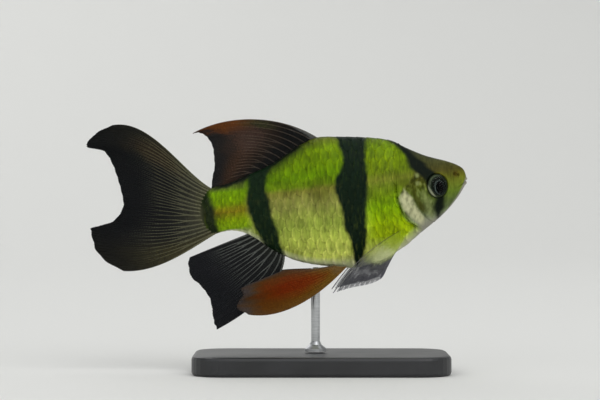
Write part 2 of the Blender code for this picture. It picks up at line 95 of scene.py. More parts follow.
def smooth_curve(points):
    """A curve through (x, y) points, smooth and without overshoot."""
    xs, ys = np.array(points, float).T
    steps = np.diff(xs)
    rises = np.diff(ys) / steps
    slopes = np.zeros(len(xs))
    slopes[0], slopes[-1] = rises[0], rises[-1]
    for i in range(1, len(rises)):
        if rises[i - 1] * rises[i] > 0:
            w1 = 2 * steps[i] + steps[i - 1]
            w2 = steps[i] + 2 * steps[i - 1]
            slopes[i] = (w1 + w2) / (w1 / rises[i - 1] + w2 / rises[i])

    def value(x):
        x = np.clip(x, xs[0], xs[-1])
        i = np.clip(np.searchsorted(xs, x, side="right") - 1, 0, len(steps) - 1)
        u = (x - xs[i]) / steps[i]
        blend = u * u * (3 - 2 * u)
        bend = u * (1 - u) ** 2 * slopes[i] + u * u * (u - 1) * slopes[i + 1]
        return ys[i] * (1 - blend) + ys[i + 1] * blend + steps[i] * bend

    return value


def along_root(points):
    """A profile read against the root of s, which rounds the snout."""
    curve = smooth_curve([(math.sqrt(s), value) for s, value in points])
    return lambda s: curve(np.sqrt(np.maximum(s, 0.0)))


back = along_root(BACK)
belly = along_root(BELLY)
half_width = along_root(HALF_WIDTH)
section_power = smooth_curve(SECTION_POWER)
gill_edge = smooth_curve(GILL_EDGE)
preopercle = smooth_curve(PREOPERCLE)


def ease(x):
    """A smooth step from 0 to 1."""
    x = np.clip(x, 0.0, 1.0)
    return x * x * (3 - 2 * x)


def ridge_at(distance, half_breadth):
    """A soft ridge, 1 at its middle."""
    return np.exp(-(distance / half_breadth) ** 2)


def side(s, t):
    """Half the body's width at s, a share t of the way up from belly to back."""
    t = np.clip(t, 0.0, 1.0) ** (math.log(0.5) / math.log(WIDEST_LEVEL))
    return half_width(s) * (2 * np.sqrt(t * (1 - t))) ** section_power(s)


def height(s, t):
    """The level at s, a share t of the way up from belly to back."""
    return belly(s) + (back(s) - belly(s)) * t


def side_at(s, h):
    """Half the body's width at (s, h)."""
    return side(s, (h - belly(s)) / (back(s) - belly(s)))


def stalk_end(t):
    """The rounded rear edge of the tail stalk."""
    return STANDARD_LENGTH - HYPURAL_CURVE * (2 * t - 1) ** 2


def place(s, h, y):
    """Points of the level frame in the world, in metres."""
    x = SNOUT_X - s * math.cos(PITCH) - h * math.sin(PITCH)
    z = SNOUT_Z - s * math.sin(PITCH) + h * math.cos(PITCH)
    return np.stack([x, y + 0 * x, z], axis=-1) * MM


def even_shares(s):
    """The shares t that divide one flank's girth at s into equal lengths, from belly to back."""
    t = 0.5 - 0.5 * np.cos(np.linspace(0, math.pi, 600))
    length = np.concatenate([[0], np.cumsum(np.hypot(np.diff(side(s, t)), np.diff(height(s, t))))])
    return np.interp(np.linspace(0, length[-1], HALF_STEPS + 1), length, t)


def socket(s, h):
    """How far out the floor of an eye socket lies at (s, h), and how far the point is from its
    middle, in eye radii. The floor lies along the eyeball's middle plane, behind the iris."""
    ds, dh = s - EYE[0], h - EYE[1]
    return EYE[2] + ds * math.tan(EYE_TURN) - SOCKET_DEPTH, np.hypot(ds / EYE_RADII[0], dh / EYE_RADII[2])


def skin_flank():
    """One flank of the skin as s, h, y, with the share of each ring and its scale count."""
    rings = np.concatenate([2.0 * np.linspace(0.005, 1, 64) ** 2, np.linspace(2.0, 10.9, 100)[1:],
                            [GILL_RING, GILL_RING + 0.07, GILL_RING + 0.16],
                            np.linspace(11.3, STANDARD_LENGTH, 126),
                            np.linspace(STANDARD_LENGTH, STANDARD_LENGTH + TAIL_SHEATH, 9)[1:]])
    shares = np.array([even_shares(min(s, STANDARD_LENGTH)) for s in rings])
    nominal = np.repeat(rings[:, None], HALF_STEPS + 1, axis=1)
    first, last = GILL_SHEAR_SPAN
    shift = ease((nominal - first) / (GILL_RING - first)) * ease((last - nominal) / (last - GILL_RING))
    s = nominal + (gill_edge(shares) - GILL_RING) * shift
    stalk = ease((nominal - TAIL_STALK_START) / (STANDARD_LENGTH - TAIL_STALK_START))
    s = s + (stalk_end(shares) - STANDARD_LENGTH) * stalk
    h = height(s, shares)
    y = side(s, shares)
    sheath = np.clip((nominal - STANDARD_LENGTH) / TAIL_SHEATH, 0, 1)
    thinned = ease((nominal - SHEATH_START) / (STANDARD_LENGTH + TAIL_SHEATH - SHEATH_START))
    y = y * (1 - SHEATH_THINNING * thinned)
    h = h - (h - height(s, 0.5)) * SHEATH_LOWERING * sheath
    count = np.concatenate([[0], np.cumsum(np.diff(rings) / smooth_curve(SCALE_PITCH)(rings[1:]))])
    return nominal, shares, s, h, y, count


def pressed_in(nominal, shares, s, h, y):
    """The flank with the gill cover, eye socket, mouth, lips and nostrils pressed in."""
    flank = np.stack([s, h, y], axis=-1)
    across = np.cross(np.gradient(flank, axis=0), np.gradient(flank, axis=1))
    outward = across / np.maximum(np.linalg.norm(across, axis=-1, keepdims=True), 1e-9)
    outward *= np.where((outward[..., 2:] < 0) & (y[..., None] > 0.05), -1, 1)
    middle_h = height(s, 0.5)
    flip = (outward[..., 1] * (h - middle_h) < 0) & (y < 0.05)
    outward[flip] *= -1

    behind = nominal - GILL_RING
    on_cover = ease(shares / 0.15) * ease((0.8 - shares) / 0.35)
    lift = GILL_COVER_LIFT * ease(1 + behind / GILL_COVER_REACH) * (behind <= 0.001)
    slit = -GILL_SLIT_DEPTH * np.exp(-np.maximum(behind - 0.07, 0) / 0.5) * (behind > 0.001)
    rise = (lift + slit) * on_cover

    fold = s - preopercle(h)
    on_fold = ease((h + 8.0) / 1.5) * ease((2.2 - h) / 1.5)
    rise += on_fold * (PREOPERCLE_FOLD[0] * ridge_at(fold + 0.35, 0.35)
                       - PREOPERCLE_FOLD[1] * ridge_at(fold - 0.1, 0.2))

    line = h - (MOUTH_TIP_H + (MOUTH_CORNER[1] - MOUTH_TIP_H) * s / MOUTH_CORNER[0])
    groove = ridge_at(line, MOUTH_HALF_GAP) * (1 - ease((s - 1.45) / 0.45))
    lips = ridge_at(line - LIP_OFFSET, LIP_HALF_HEIGHT) + ridge_at(line + LIP_OFFSET, LIP_HALF_HEIGHT)
    rise += LIP_RISE * lips * (1 - ease((s - 0.9) / 0.9)) - MOUTH_DEPTH * groove

    for nostril_s, nostril_h, radius in NOSTRILS:
        middle = np.array([nostril_s, nostril_h, side_at(nostril_s, nostril_h)])
        away = np.linalg.norm(flank - middle, axis=-1)
        rise += NOSTRIL_RIM * ridge_at(away - 1.35 * radius, 0.12)
        rise -= NOSTRIL_DEPTH * np.exp(-(away / radius) ** 4)

    flank = flank + outward * rise[..., None]
    floor, away = socket(s, h)
    floor = np.minimum(floor, flank[..., 2])
    out = ease((away - 0.95) / 0.13)
    flank[..., 2] = np.where(away < 1.3, floor * (1 - out) + flank[..., 2] * out, flank[..., 2])
    flank[..., 2] += SOCKET_RIM * ridge_at(away - 1.17, 0.1)
    flank[:, 0, 2] = 0.0
    flank[:, -1, 2] = 0.0
    return flank


def closed_skin():
    """The skin's mesh: both flanks, a tip at the snout and a closed rear edge, with its unwrap."""
    nominal, shares, s, h, y, count = skin_flank()
    flank = pressed_in(nominal, shares, s, h, y)
    right = place(flank[..., 0], flank[..., 1], -flank[..., 2])
    left = place(flank[..., 0], flank[..., 1], flank[..., 2])
    ring = np.concatenate([right, left[:, -2:0:-1]], axis=1)
    rings, steps = ring.shape[:2]
    tip = ring[0].mean(axis=0)
    verts = np.concatenate([ring.reshape(-1, 3), [tip]])
    faces, places = [], []
    u = count / count[-1]
    for i in range(rings - 1):
        for j in range(steps):
            k = (j + 1) % steps
            faces.append((i * steps + j, (i + 1) * steps + j, (i + 1) * steps + k, i * steps + k))
            v, w = j / steps, (j + 1) / steps
            places.extend([(u[i], v), (u[i + 1], v), (u[i + 1], w), (u[i], w)])
    for j in range(steps):
        faces.append((len(verts) - 1, j, (j + 1) % steps))
        places.extend([(0.0, (j + 0.5) / steps), (u[0], j / steps), (u[0], (j + 1) / steps)])
    last = (rings - 1) * steps
    for j in range(HALF_STEPS):
        k, m = (steps - j) % steps, steps - j - 1
        corners = [last + j + 1, last + j, last + k, last + m]
        if j == 0:
            corners.remove(last + k)
        if j == HALF_STEPS - 1:
            corners.remove(last + m)
        faces.append(tuple(corners))
        places.extend([(0.999, 0.0)] * len(corners))
    mesh = bpy.data.meshes.new("skin")
    mesh.from_pydata(verts.tolist(), [], faces)
    mesh.uv_layers.new(name="unwrap").data.foreach_set("uv", np.array(places, np.float32).ravel())
    trunk = np.concatenate([np.concatenate([nominal, nominal[:, -2:0:-1]], axis=1).ravel(), [0.0]])
    mesh.attributes.new("trunk", "FLOAT", "POINT").data.foreach_set("value", trunk - GILL_RING)
    mesh.shade_smooth()
    return mesh, count


def add_object(name, mesh):
    """Puts a mesh in the scene as an object."""
    added = bpy.data.objects.new(name, mesh)
    scene.collection.objects.link(added)
    return added


def settle(obj):
    """Turns an object's modifiers into its mesh, and checks that its faces point outwards."""
    bpy.context.view_layer.update()
    mesh = bpy.data.meshes.new_from_object(obj.evaluated_get(bpy.context.evaluated_depsgraph_get()))
    obj.modifiers.clear()
    obj.data = mesh
    mesh.name = obj.name
    bm = bmesh.new()
    bm.from_mesh(mesh)
    if bm.calc_volume(signed=True) < 0:
        bmesh.ops.reverse_faces(bm, faces=bm.faces)
        bm.to_mesh(mesh)
    bm.free()
    return obj


def linear(colour):
    """An sRGB hex colour as a linear one with alpha."""
    shares = [int(colour[i:i + 2], 16) / 255 for i in (1, 3, 5)]
    return [c / 12.92 if c <= 0.04045 else ((c + 0.055) / 1.055) ** 2.4 for c in shares] + [1.0]


def feed(tree, node, inputs):
    """Gives inputs of a node their values, or links them to the sockets that feed them."""
    for key, value in inputs.items():
        if isinstance(value, bpy.types.NodeSocket):
            tree.links.new(value, node.inputs[key])
        else:
            node.inputs[key].default_value = value


def add(tree, kind, inputs=None, stops=None, curve=None, **settings):
    """Adds a node, with its settings, its inputs, and the stops or the curve that it may have."""
    made = tree.nodes.new(kind)
    for name, value in settings.items():
        setattr(made, name, value)
    feed(tree, made, inputs or {})
    if stops:
        elements = made.color_ramp.elements
        elements.remove(elements[-1])
        elements[0].position, elements[0].color = stops[0][0], linear(stops[0][1])
        for position, colour in stops[1:]:
            elements.new(position).color = linear(colour)
    if curve:
        points = made.mapping.curves[0].points
        points[0].location = curve[0]
        points[-1].location = curve[-1]
        for x, value in curve[1:-1]:
            points.new(x, value)
        made.mapping.update()
    return made


# The markings: four dark bars on a green flank with a brown stripe along its middle, a pale belly
# and a silver patch on the gill cover. They're in the skin's own pigment cells, so skin and scales
# share one pattern, laid out in the level frame with s over LENGTH_SPAN and h over HEIGHT_SPAN.
# The pattern also carries painted shade under the dorsal fin, at the top of the gill slit and in the hollow
# in front of the gill cover, and painted light along the pale belly edge.
LENGTH_SPAN = 50.0
HEIGHT_SPAN = 30.0
EYE_BAR = (
    [(8.0, 11.2), (7.2, 10.6), (6.3, 9.6), (5.2, 8.9), (4.3, 8.1), (3.6, 7.3), (2.6, 6.6), (2.0, 5.9),
     (0.0, 4.7), (-2.9, 4.4), (-3.8, 4.6), (-4.6, 4.8), (-5.4, 5.2), (-6.4, 5.5)],
    [(8.0, 12.6), (7.0, 11.6), (5.6, 10.7), (4.2, 10.3), (3.2, 10.0), (2.5, 9.5), (1.6, 8.5), (0.5, 7.7),
     (-0.5, 7.4), (-2.2, 6.7), (-3.0, 6.5), (-3.8, 6.6), (-4.6, 6.7), (-5.4, 6.5), (-6.4, 6.2)])
BODY_BARS = [
    ("#0b1b0e", 0.45,
     [(9.9, 17.1), (8.0, 17.4), (5.5, 17.7), (1.8, 17.85), (-1.8, 18.4), (-5.5, 18.95), (-9.1, 19.25),
      (-12.3, 20.6)],
     [(9.9, 22.4), (7.3, 21.8), (5.8, 21.7), (4.0, 22.5), (2.4, 23.6), (0.0, 23.7), (-2.0, 23.1),
      (-5.9, 22.9), (-8.4, 22.2), (-12.0, 21.9)]),
    ("#0d1f0e", 0.5,
     [(9.0, 30.5), (7.4, 33.2), (6.4, 34.7), (4.2, 35.8), (2.1, 36.0), (0.0, 35.6), (-2.0, 35.5),
      (-4.0, 35.1), (-6.0, 34.7), (-8.0, 34.5), (-10.7, 33.8)],
     [(9.0, 36.0), (5.8, 38.6), (4.0, 39.1), (2.0, 39.5), (0.0, 39.6), (-2.0, 39.4), (-4.0, 38.9),
      (-6.0, 38.2), (-8.0, 37.3), (-10.5, 35.6)]),
    ("#1b2511", 0.8,
     [(4.0, 46.4), (2.5, 46.2), (0.5, 45.7), (-1.0, 45.5), (-3.0, 45.3), (-6.0, 45.4)],
     [(4.0, 47.7), (2.0, 48.2), (0.0, 48.0), (-3.0, 47.8), (-6.0, 47.4)]),
]
OPERCLE_PATCH = (
    [(0.0, 12.4), (-1.0, 11.4), (-2.2, 10.5), (-3.6, 10.0), (-4.7, 9.4), (-5.9, 8.7), (-6.8, 8.5),
     (-7.6, 9.0)],
    [(0.0, 11.4), (-1.0, 11.8), (-1.6, 12.3), (-3.0, 12.4), (-4.6, 11.8), (-5.9, 10.7), (-6.8, 9.8),
     (-7.6, 8.7)])
HEAD_END = [(8.0, 12.4), (6.0, 10.6), (4.0, 9.9), (2.4, 9.4), (0.8, 10.4), (-0.6, 12.0), (-1.3, 12.6),
            (-4.1, 12.4), (-6.2, 11.3), (-7.4, 9.8), (-9.0, 9.0)]
# painted shade along the hollow in front of the gill cover
CHEEK_GROOVE_SHADE = (
    [(0.6, 9.9), (-0.4, 9.7), (-1.5, 9.3), (-3.0, 8.7), (-4.5, 8.2), (-5.4, 8.2)],
    [(0.6, 9.8), (-0.4, 10.1), (-1.5, 10.2), (-3.0, 9.9), (-4.5, 9.3), (-5.4, 8.1)])
CHEEK_STREAK = (
    [(-1.0, 8.2), (-2.0, 7.7), (-3.2, 7.3), (-4.5, 7.0), (-6.2, 6.9)],
    [(-1.0, 8.1), (-2.0, 8.6), (-3.2, 8.5), (-4.5, 8.1), (-6.2, 7.5)])
EDGE_WAVER = 0.008
HEAD_END_SOFT = 0.6
GROUND_CHANGES = [(17.0, 22.0), (38.5, 40.5)]
STREAK_CONTRAST = (0.58, 1.44)
CHEEK_LENGTH = (5.8, 7.0)
CHEEK_LEVELS = ((-6.6, -5.0), (2.6, 1.6))
JAW_SPAN = (14.0, 9.0)
# where the painted shade along the back fades in, and where it fades out again
BACK_SHADE_ENDS = [(26.0, 29.5), (46.5, 44.0)]
FIN_ROOT_SPAN = (47.2, 47.8)
CHEEK_SPOTS = ((8.95, 1.65, 0.7), (9.1, 0.2, 0.6))
NOSTRIL_SPOT = (1.85, 1.0, 0.9)
# painted shade at the top of the gill slit, as s, h and radius
PAINTED_GILL_SLIT_SHADE = (11.7, 0.5, 1.3)
FLANK_BLOTCH = (26.2, 0.5, 3.2)
HEAD_STOPS = [(-10.0, "#a8ab98"), (-7.0, "#8e947a"), (-5.0, "#66744a"), (-3.0, "#5c6e30"), (-1.8, "#617624"),
              (-0.3, "#687222"), (0.9, "#5b5c18"), (2.0, "#464217"), (3.8, "#454723"), (5.5, "#383b25"),
              (8.0, "#2f321e")]
FRONT_STOPS = [(-13.0, "#c6ca9c"), (-11.0, "#b6be5c"), (-8.5, "#9cb610"), (-7.0, "#8ca602"),
               (-3.2, "#7ba400"), (-1.0, "#627c0a"), (0.8, "#5e6e18"), (1.7, "#6a7220"), (3.0, "#647a0c"),
               (4.4, "#677f02"), (7.5, "#627e02"), (9.9, "#50601a")]
FLANK_STOPS = [(-13.5, "#cacf9a"), (-11.0, "#c2ce5c"), (-8.4, "#adbb4c"), (-5.1, "#8c9d3c"),
               (-3.0, "#88943c"), (-1.6, "#80863c"), (0.0, "#7f823a"), (1.3, "#77782c"), (2.2, "#5f7a0a"),
               (3.8, "#577a00"), (5.6, "#5d7c00"), (8.5, "#627e04"), (10.3, "#545e18"), (11.2, "#404a1a")]
STALK_STOPS = [(-5.2, "#a5ad80"), (-4.4, "#909e58"), (-3.8, "#7a9c10"), (-2.4, "#7a9604"), (-1.6, "#74800c"),
               (-0.8, "#70680e"), (-0.1, "#70740c"), (0.7, "#698702"), (1.8, "#658800"), (2.8, "#5f8204"),
               (3.4, "#4e621a"), (4.4, "#343c1a")]
# painted shade under the dorsal fin and along the top of the back
PAINTED_BACK_SHADE = "#12170f"
EYE_BAR_COLOUR = "#09120a"
# how far up from the belly's outline the pale edge and its painted light reach, along s
BELLY_EDGE_BREADTH = [(0.0, 0.75), (6.0, 0.75), (9.0, 2.5), (11.0, 2.3), (13.0, 1.8), (20.0, 1.8),
                      (34.0, 1.3), (38.5, 1.1), (41.0, 0.5), (50.0, 0.45)]
# how far down from the back's outline the painted shade reaches, along s
BACK_SHADE_BREADTH = [(0.0, 1.2), (26.0, 1.2), (29.0, 2.4), (33.0, 2.7), (37.0, 2.0), (40.0, 1.1),
                      (50.0, 1.0)]
NOSTRIL_BROWN = "#46300f"
# the brown of the blotch behind the second bar, and of the painted shade at the gill slit
BLOTCH_AND_SLIT_SHADE_BROWN = "#4c4f12"
OPERCLE_SILVER = "#c2c298"
CHEEK_SILVER = "#8d975c"
CHEEK_SHADE = "#262b06"
# brownish painted shade for the hollow in front of the gill cover
PAINTED_GROOVE_SHADE = "#40400e"
JAW_COLOUR = "#8f8c80"
# the pale belly edge: its own colour, made paler as painted light
BELLY_EDGE_AND_PAINTED_LIGHT = "#ced4a4"
FIN_ROOT_COLOUR = "#4c4c38"


def level_stops(stops):
    """(h, colour) points as a colour ramp's stops."""
    return [(0.5 + h / HEIGHT_SPAN, colour) for h, colour in sorted(stops)]


def level_curve(points):
    """(h, s) points as a float curve's points."""
    return [(0.5 + h / HEIGHT_SPAN, s / LENGTH_SPAN) for h, s in sorted(points)]


def band(tree, s, h, front, rear, soft):
    """1 between two edges that are given as (h, s) points, and 0 outside them."""
    first = add(tree, "ShaderNodeFloatCurve", {"Value": h}, curve=level_curve(front)).outputs[0]
    last = add(tree, "ShaderNodeFloatCurve", {"Value": h}, curve=level_curve(rear)).outputs[0]
    first = add(tree, "ShaderNodeMath", {0: s, 1: first}, operation="SUBTRACT").outputs[0]
    last = add(tree, "ShaderNodeMath", {0: last, 1: s}, operation="SUBTRACT").outputs[0]
    inside = add(tree, "ShaderNodeMath", {0: first, 1: last}, operation="MINIMUM").outputs[0]
    return add(tree, "ShaderNodeMapRange", {"Value": inside, "From Min": -soft / LENGTH_SPAN,
                                            "From Max": soft / LENGTH_SPAN},
               interpolation_type="SMOOTHSTEP").outputs[0]


def laid_over(tree, colour, top, share):
    """One colour laid over another where share is 1."""
    return add(tree, "ShaderNodeMix", {"Factor": share, "A": colour, "B": top},
               data_type="RGBA").outputs["Result"]


def barb_markings():
    """A node group that gives the colour, and how silvery it is, at a place on the body."""
    tree = bpy.data.node_groups.new("barb_markings", "ShaderNodeTree")
    tree.interface.new_socket("Position", in_out="INPUT", socket_type="NodeSocketVector")
    tree.interface.new_socket("Color", in_out="OUTPUT", socket_type="NodeSocketColor")
    tree.interface.new_socket("Silver", in_out="OUTPUT", socket_type="NodeSocketFloat")
    position = add(tree, "NodeGroupInput").outputs["Position"]
    snout = (SNOUT_X * MM, 0.0, SNOUT_Z * MM)
    from_snout = add(tree, "ShaderNodeVectorMath", {0: position, 1: snout}, operation="SUBTRACT").outputs[0]
    backward = tuple(-c / MM / LENGTH_SPAN for c in (math.cos(PITCH), 0.0, math.sin(PITCH)))
    upward = tuple(c / MM / HEIGHT_SPAN for c in (-math.sin(PITCH), 0.0, math.cos(PITCH)))
    s = add(tree, "ShaderNodeVectorMath", {0: from_snout, 1: backward},
            operation="DOT_PRODUCT").outputs["Value"]
    h = add(tree, "ShaderNodeVectorMath", {0: from_snout, 1: upward},
            operation="DOT_PRODUCT").outputs["Value"]
    h = add(tree, "ShaderNodeMath", {0: h, 1: 0.5}, operation="ADD").outputs[0]

    # edges waver by a third of a millimetre, over the width of a scale
    waver = add(tree, "ShaderNodeTexNoise",
                {"Vector": position, "Scale": 700.0, "Detail": 2.0}).outputs["Fac"]
    waver = add(tree, "ShaderNodeMath", {0: waver, 1: 2 * EDGE_WAVER, 2: -EDGE_WAVER},
                operation="MULTIPLY_ADD").outputs[0]
    wavy_s = add(tree, "ShaderNodeMath", {0: s, 1: waver}, operation="ADD").outputs[0]
    wavy_h = add(tree, "ShaderNodeMath", {0: h, 1: waver}, operation="ADD").outputs[0]

    # the ground colour, in four lengths that run into each other
    ramps = [add(tree, "ShaderNodeValToRGB", {"Fac": wavy_h}, stops=level_stops(stops)).outputs["Color"]
             for stops in (HEAD_STOPS, FRONT_STOPS, FLANK_STOPS, STALK_STOPS)]
    head_end = add(tree, "ShaderNodeFloatCurve", {"Value": wavy_h}, curve=level_curve(HEAD_END)).outputs[0]
    past_head = add(tree, "ShaderNodeMath", {0: wavy_s, 1: head_end}, operation="SUBTRACT").outputs[0]
    past_head = add(tree, "ShaderNodeMapRange", {"Value": past_head, "From Min": -HEAD_END_SOFT / LENGTH_SPAN,
                                                 "From Max": HEAD_END_SOFT / LENGTH_SPAN}).outputs[0]
    colour = laid_over(tree, ramps[0], ramps[1], past_head)
    for ramp, (start, end) in zip(ramps[2:], GROUND_CHANGES):
        there = add(tree, "ShaderNodeMapRange", {"Value": wavy_s, "From Min": start / LENGTH_SPAN,
                                                 "From Max": end / LENGTH_SPAN},
                    interpolation_type="SMOOTHSTEP")
        colour = laid_over(tree, colour, ramp, there.outputs[0])

    # fine upright streaks, a third of a millimetre across, and mottling of 3 mm
    streaks = add(tree, "ShaderNodeMapping", {"Vector": position, "Scale": (2700.0, 900.0, 700.0)})
    streaks = add(tree, "ShaderNodeTexNoise", {"Vector": streaks.outputs[0], "Scale": 1.0, "Detail": 3.0})
    mottle = add(tree, "ShaderNodeTexNoise", {"Vector": position, "Scale": 330.0, "Detail": 3.0})
    light = add(tree, "ShaderNodeMath", {0: streaks.outputs["Fac"], 1: mottle.outputs["Fac"]},
                operation="ADD")
    light = add(tree, "ShaderNodeMapRange", {"Value": light.outputs[0], "From Min": 0.7, "From Max": 1.3,
                                             "To Min": STREAK_CONTRAST[0],
                                             "To Max": STREAK_CONTRAST[1]}).outputs[0]
    colour = add(tree, "ShaderNodeVectorMath", {0: colour, "Scale": light}, operation="SCALE").outputs[0]

    # silvery and dark mottling, half a millimetre across, on the cheek behind the eye
    cheek = 1.0
    for value, start, end in [(s, CHEEK_LENGTH[0] / LENGTH_SPAN, CHEEK_LENGTH[1] / LENGTH_SPAN),
                              (past_head, 0.8, 0.2)] + [
            (h, 0.5 + outer / HEIGHT_SPAN, 0.5 + inner / HEIGHT_SPAN) for outer, inner in CHEEK_LEVELS]:
        there = add(tree, "ShaderNodeMapRange", {"Value": value, "From Min": start, "From Max": end})
        cheek = add(tree, "ShaderNodeMath", {0: there.outputs[0], 1: cheek}, operation="MULTIPLY").outputs[0]
    flecks = add(tree, "ShaderNodeMapping", {"Vector": position, "Scale": (1700.0, 900.0, 1000.0)}).outputs[0]
    flecks = add(tree, "ShaderNodeTexNoise", {"Vector": flecks, "Scale": 1.0, "Detail": 2.0}).outputs["Fac"]
    for start, end, tone, amount in ((0.5, 0.78, CHEEK_SILVER, 0.6), (0.66, 0.36, CHEEK_SHADE, 0.85)):
        there = add(tree, "ShaderNodeMapRange",
                    {"Value": flecks, "From Min": start, "From Max": end, "To Max": amount})
        share = add(tree, "ShaderNodeMath", {0: there.outputs[0], 1: cheek}, operation="MULTIPLY").outputs[0]
        colour = laid_over(tree, colour, linear(tone), share)

    # brownish painted shade in the hollow in front of the gill cover, and a pale streak in front of that
    for (front, rear), tone, amount in ((CHEEK_GROOVE_SHADE, PAINTED_GROOVE_SHADE, 0.7), (CHEEK_STREAK, CHEEK_SILVER, 0.45)):
        there = band(tree, wavy_s, wavy_h, front, rear, 0.6)
        there = add(tree, "ShaderNodeMath", {0: there, 1: amount}, operation="MULTIPLY").outputs[0]
        colour = laid_over(tree, colour, linear(tone), there)

    # a brown spot round each nostril, two pale ones behind the eye, painted shade at the top of the gill slit
    # and a blotch behind the second bar
    for (spot_s, spot_h, radius), tone, amount in ((NOSTRIL_SPOT, NOSTRIL_BROWN, 0.6),
                                                   (PAINTED_GILL_SLIT_SHADE, BLOTCH_AND_SLIT_SHADE_BROWN, 0.6),
                                                   (FLANK_BLOTCH, BLOTCH_AND_SLIT_SHADE_BROWN, 0.6),
                                                   (CHEEK_SPOTS[0], CHEEK_SILVER, 0.75),
                                                   (CHEEK_SPOTS[1], CHEEK_SILVER, 0.6)):
        across = add(tree, "ShaderNodeMath", {0: wavy_s, 1: LENGTH_SPAN, 2: -spot_s},
                     operation="MULTIPLY_ADD")
        up = add(tree, "ShaderNodeMath", {0: wavy_h, 1: HEIGHT_SPAN, 2: -HEIGHT_SPAN / 2 - spot_h},
                 operation="MULTIPLY_ADD")
        away = add(tree, "ShaderNodeCombineXYZ", {"X": across.outputs[0], "Y": up.outputs[0]}).outputs[0]
        away = add(tree, "ShaderNodeVectorMath", {0: away}, operation="LENGTH").outputs["Value"]
        spot = add(tree, "ShaderNodeMapRange", {"Value": away, "From Min": radius, "From Max": 0.15,
                                                "To Max": amount}, interpolation_type="SMOOTHSTEP").outputs[0]
        colour = laid_over(tree, colour, linear(tone), spot)

    # the silver patch of the gill cover, in front of its rear edge
    silver = band(tree, wavy_s, wavy_h, *OPERCLE_PATCH, 0.5)
    cloud = add(tree, "ShaderNodeMapRange",
                {"Value": flecks, "From Min": 0.33, "From Max": 0.6, "To Min": 0.5})
    silver = add(tree, "ShaderNodeMath", {0: silver, 1: cloud.outputs[0]}, operation="MULTIPLY").outputs[0]
    colour = laid_over(tree, colour, linear(OPERCLE_SILVER), silver)

    # a pale edge along the jaw and belly, the belly's own colour, made wider and paler as painted light where
    # the underside lies in shade
    samples = np.linspace(0.0, 1.0, 14)
    low, top = [add(tree, "ShaderNodeFloatCurve", {"Value": s}, curve=[
        (x, 0.5 + float(outline(x * LENGTH_SPAN)) / HEIGHT_SPAN) for x in samples]).outputs[0]
        for outline in (belly, back)]
    edge_breadth, painted_shade_breadth = [add(tree, "ShaderNodeFloatCurve", {"Value": s}, curve=[
        (x / LENGTH_SPAN, y / HEIGHT_SPAN) for x, y in points]).outputs[0]
        for points in (BELLY_EDGE_BREADTH, BACK_SHADE_BREADTH)]
    above = add(tree, "ShaderNodeMath", {0: h, 1: low}, operation="SUBTRACT").outputs[0]
    pale = add(tree, "ShaderNodeMapRange", {"Value": above, "From Min": edge_breadth,
                                            "From Max": 0.1 / HEIGHT_SPAN}).outputs[0]
    jaw = add(tree, "ShaderNodeMapRange", {"Value": s, "From Min": JAW_SPAN[0] / LENGTH_SPAN,
                                           "From Max": JAW_SPAN[1] / LENGTH_SPAN}).outputs[0]
    edge_colour = laid_over(tree, linear(BELLY_EDGE_AND_PAINTED_LIGHT), linear(JAW_COLOUR), jaw)
    colour = laid_over(tree, colour, edge_colour, pale)

    # painted shade under the dorsal fin and along the top of the back, which also stands in for the dorsal
    # fin's dark lower edge over the tail stalk; then the tail fin's root colour and the dark bars
    below = add(tree, "ShaderNodeMath", {0: top, 1: wavy_h}, operation="SUBTRACT").outputs[0]
    dark = add(tree, "ShaderNodeMapRange", {"Value": below, "From Min": painted_shade_breadth,
                                            "From Max": 0.3 / HEIGHT_SPAN}).outputs[0]
    for start, end in BACK_SHADE_ENDS:
        there = add(tree, "ShaderNodeMapRange", {"Value": s, "From Min": start / LENGTH_SPAN,
                                                 "From Max": end / LENGTH_SPAN})
        dark = add(tree, "ShaderNodeMath", {0: dark, 1: there.outputs[0]}, operation="MULTIPLY").outputs[0]
    colour = laid_over(tree, colour, linear(PAINTED_BACK_SHADE), dark)
    behind = add(tree, "ShaderNodeMapRange", {"Value": wavy_s, "From Min": FIN_ROOT_SPAN[0] / LENGTH_SPAN,
                                              "From Max": FIN_ROOT_SPAN[1] / LENGTH_SPAN}).outputs[0]
    colour = laid_over(tree, colour, linear(FIN_ROOT_COLOUR), behind)
    dense = add(tree, "ShaderNodeMapRange", {"Value": streaks.outputs["Fac"], "From Min": 0.52,
                                             "From Max": 0.75, "To Min": 1.0, "To Max": 0.93}).outputs[0]
    for tone, soft, front, rear in BODY_BARS + [(EYE_BAR_COLOUR, 0.6, *EYE_BAR)]:
        share = band(tree, wavy_s, h, front, rear, soft)
        share = add(tree, "ShaderNodeMath", {0: share, 1: dense}, operation="MULTIPLY").outputs[0]
        colour = laid_over(tree, colour, linear(tone), share)
    add(tree, "NodeGroupOutput", {"Color": colour, "Silver": silver})
    return tree


def new_material(name):
    """A new material, its tree and its shader."""
    made = bpy.data.materials.new(name)
    made.use_nodes = True
    return made, made.node_tree, made.node_tree.nodes["Principled BSDF"]


def skin_material(markings):
    """Painted skin under a clear wet-looking varnish: smooth, with a fine grain of 0.15 mm."""
    made, tree, shader = new_material("varnished_skin")
    position = add(tree, "ShaderNodeTexCoord").outputs["Object"]
    pattern = add(tree, "ShaderNodeGroup", {"Position": position}, node_tree=markings)
    grain = add(tree, "ShaderNodeTexNoise",
                {"Vector": position, "Scale": 6500.0, "Detail": 3.0}).outputs["Fac"]
    rough = add(tree, "ShaderNodeMapRange", {"Value": grain, "To Min": 0.34, "To Max": 0.5}).outputs[0]
    metal = add(tree, "ShaderNodeMath", {0: pattern.outputs["Silver"], 1: 0.35},
                operation="MULTIPLY").outputs[0]
    bump = add(tree, "ShaderNodeBump", {"Height": grain, "Strength": 0.25, "Distance": 0.00004}).outputs[0]
    feed(tree, shader, {"Base Color": pattern.outputs["Color"], "Roughness": rough, "Metallic": metal,
                        "Normal": bump, "Specular IOR Level": 0.05})
    return made


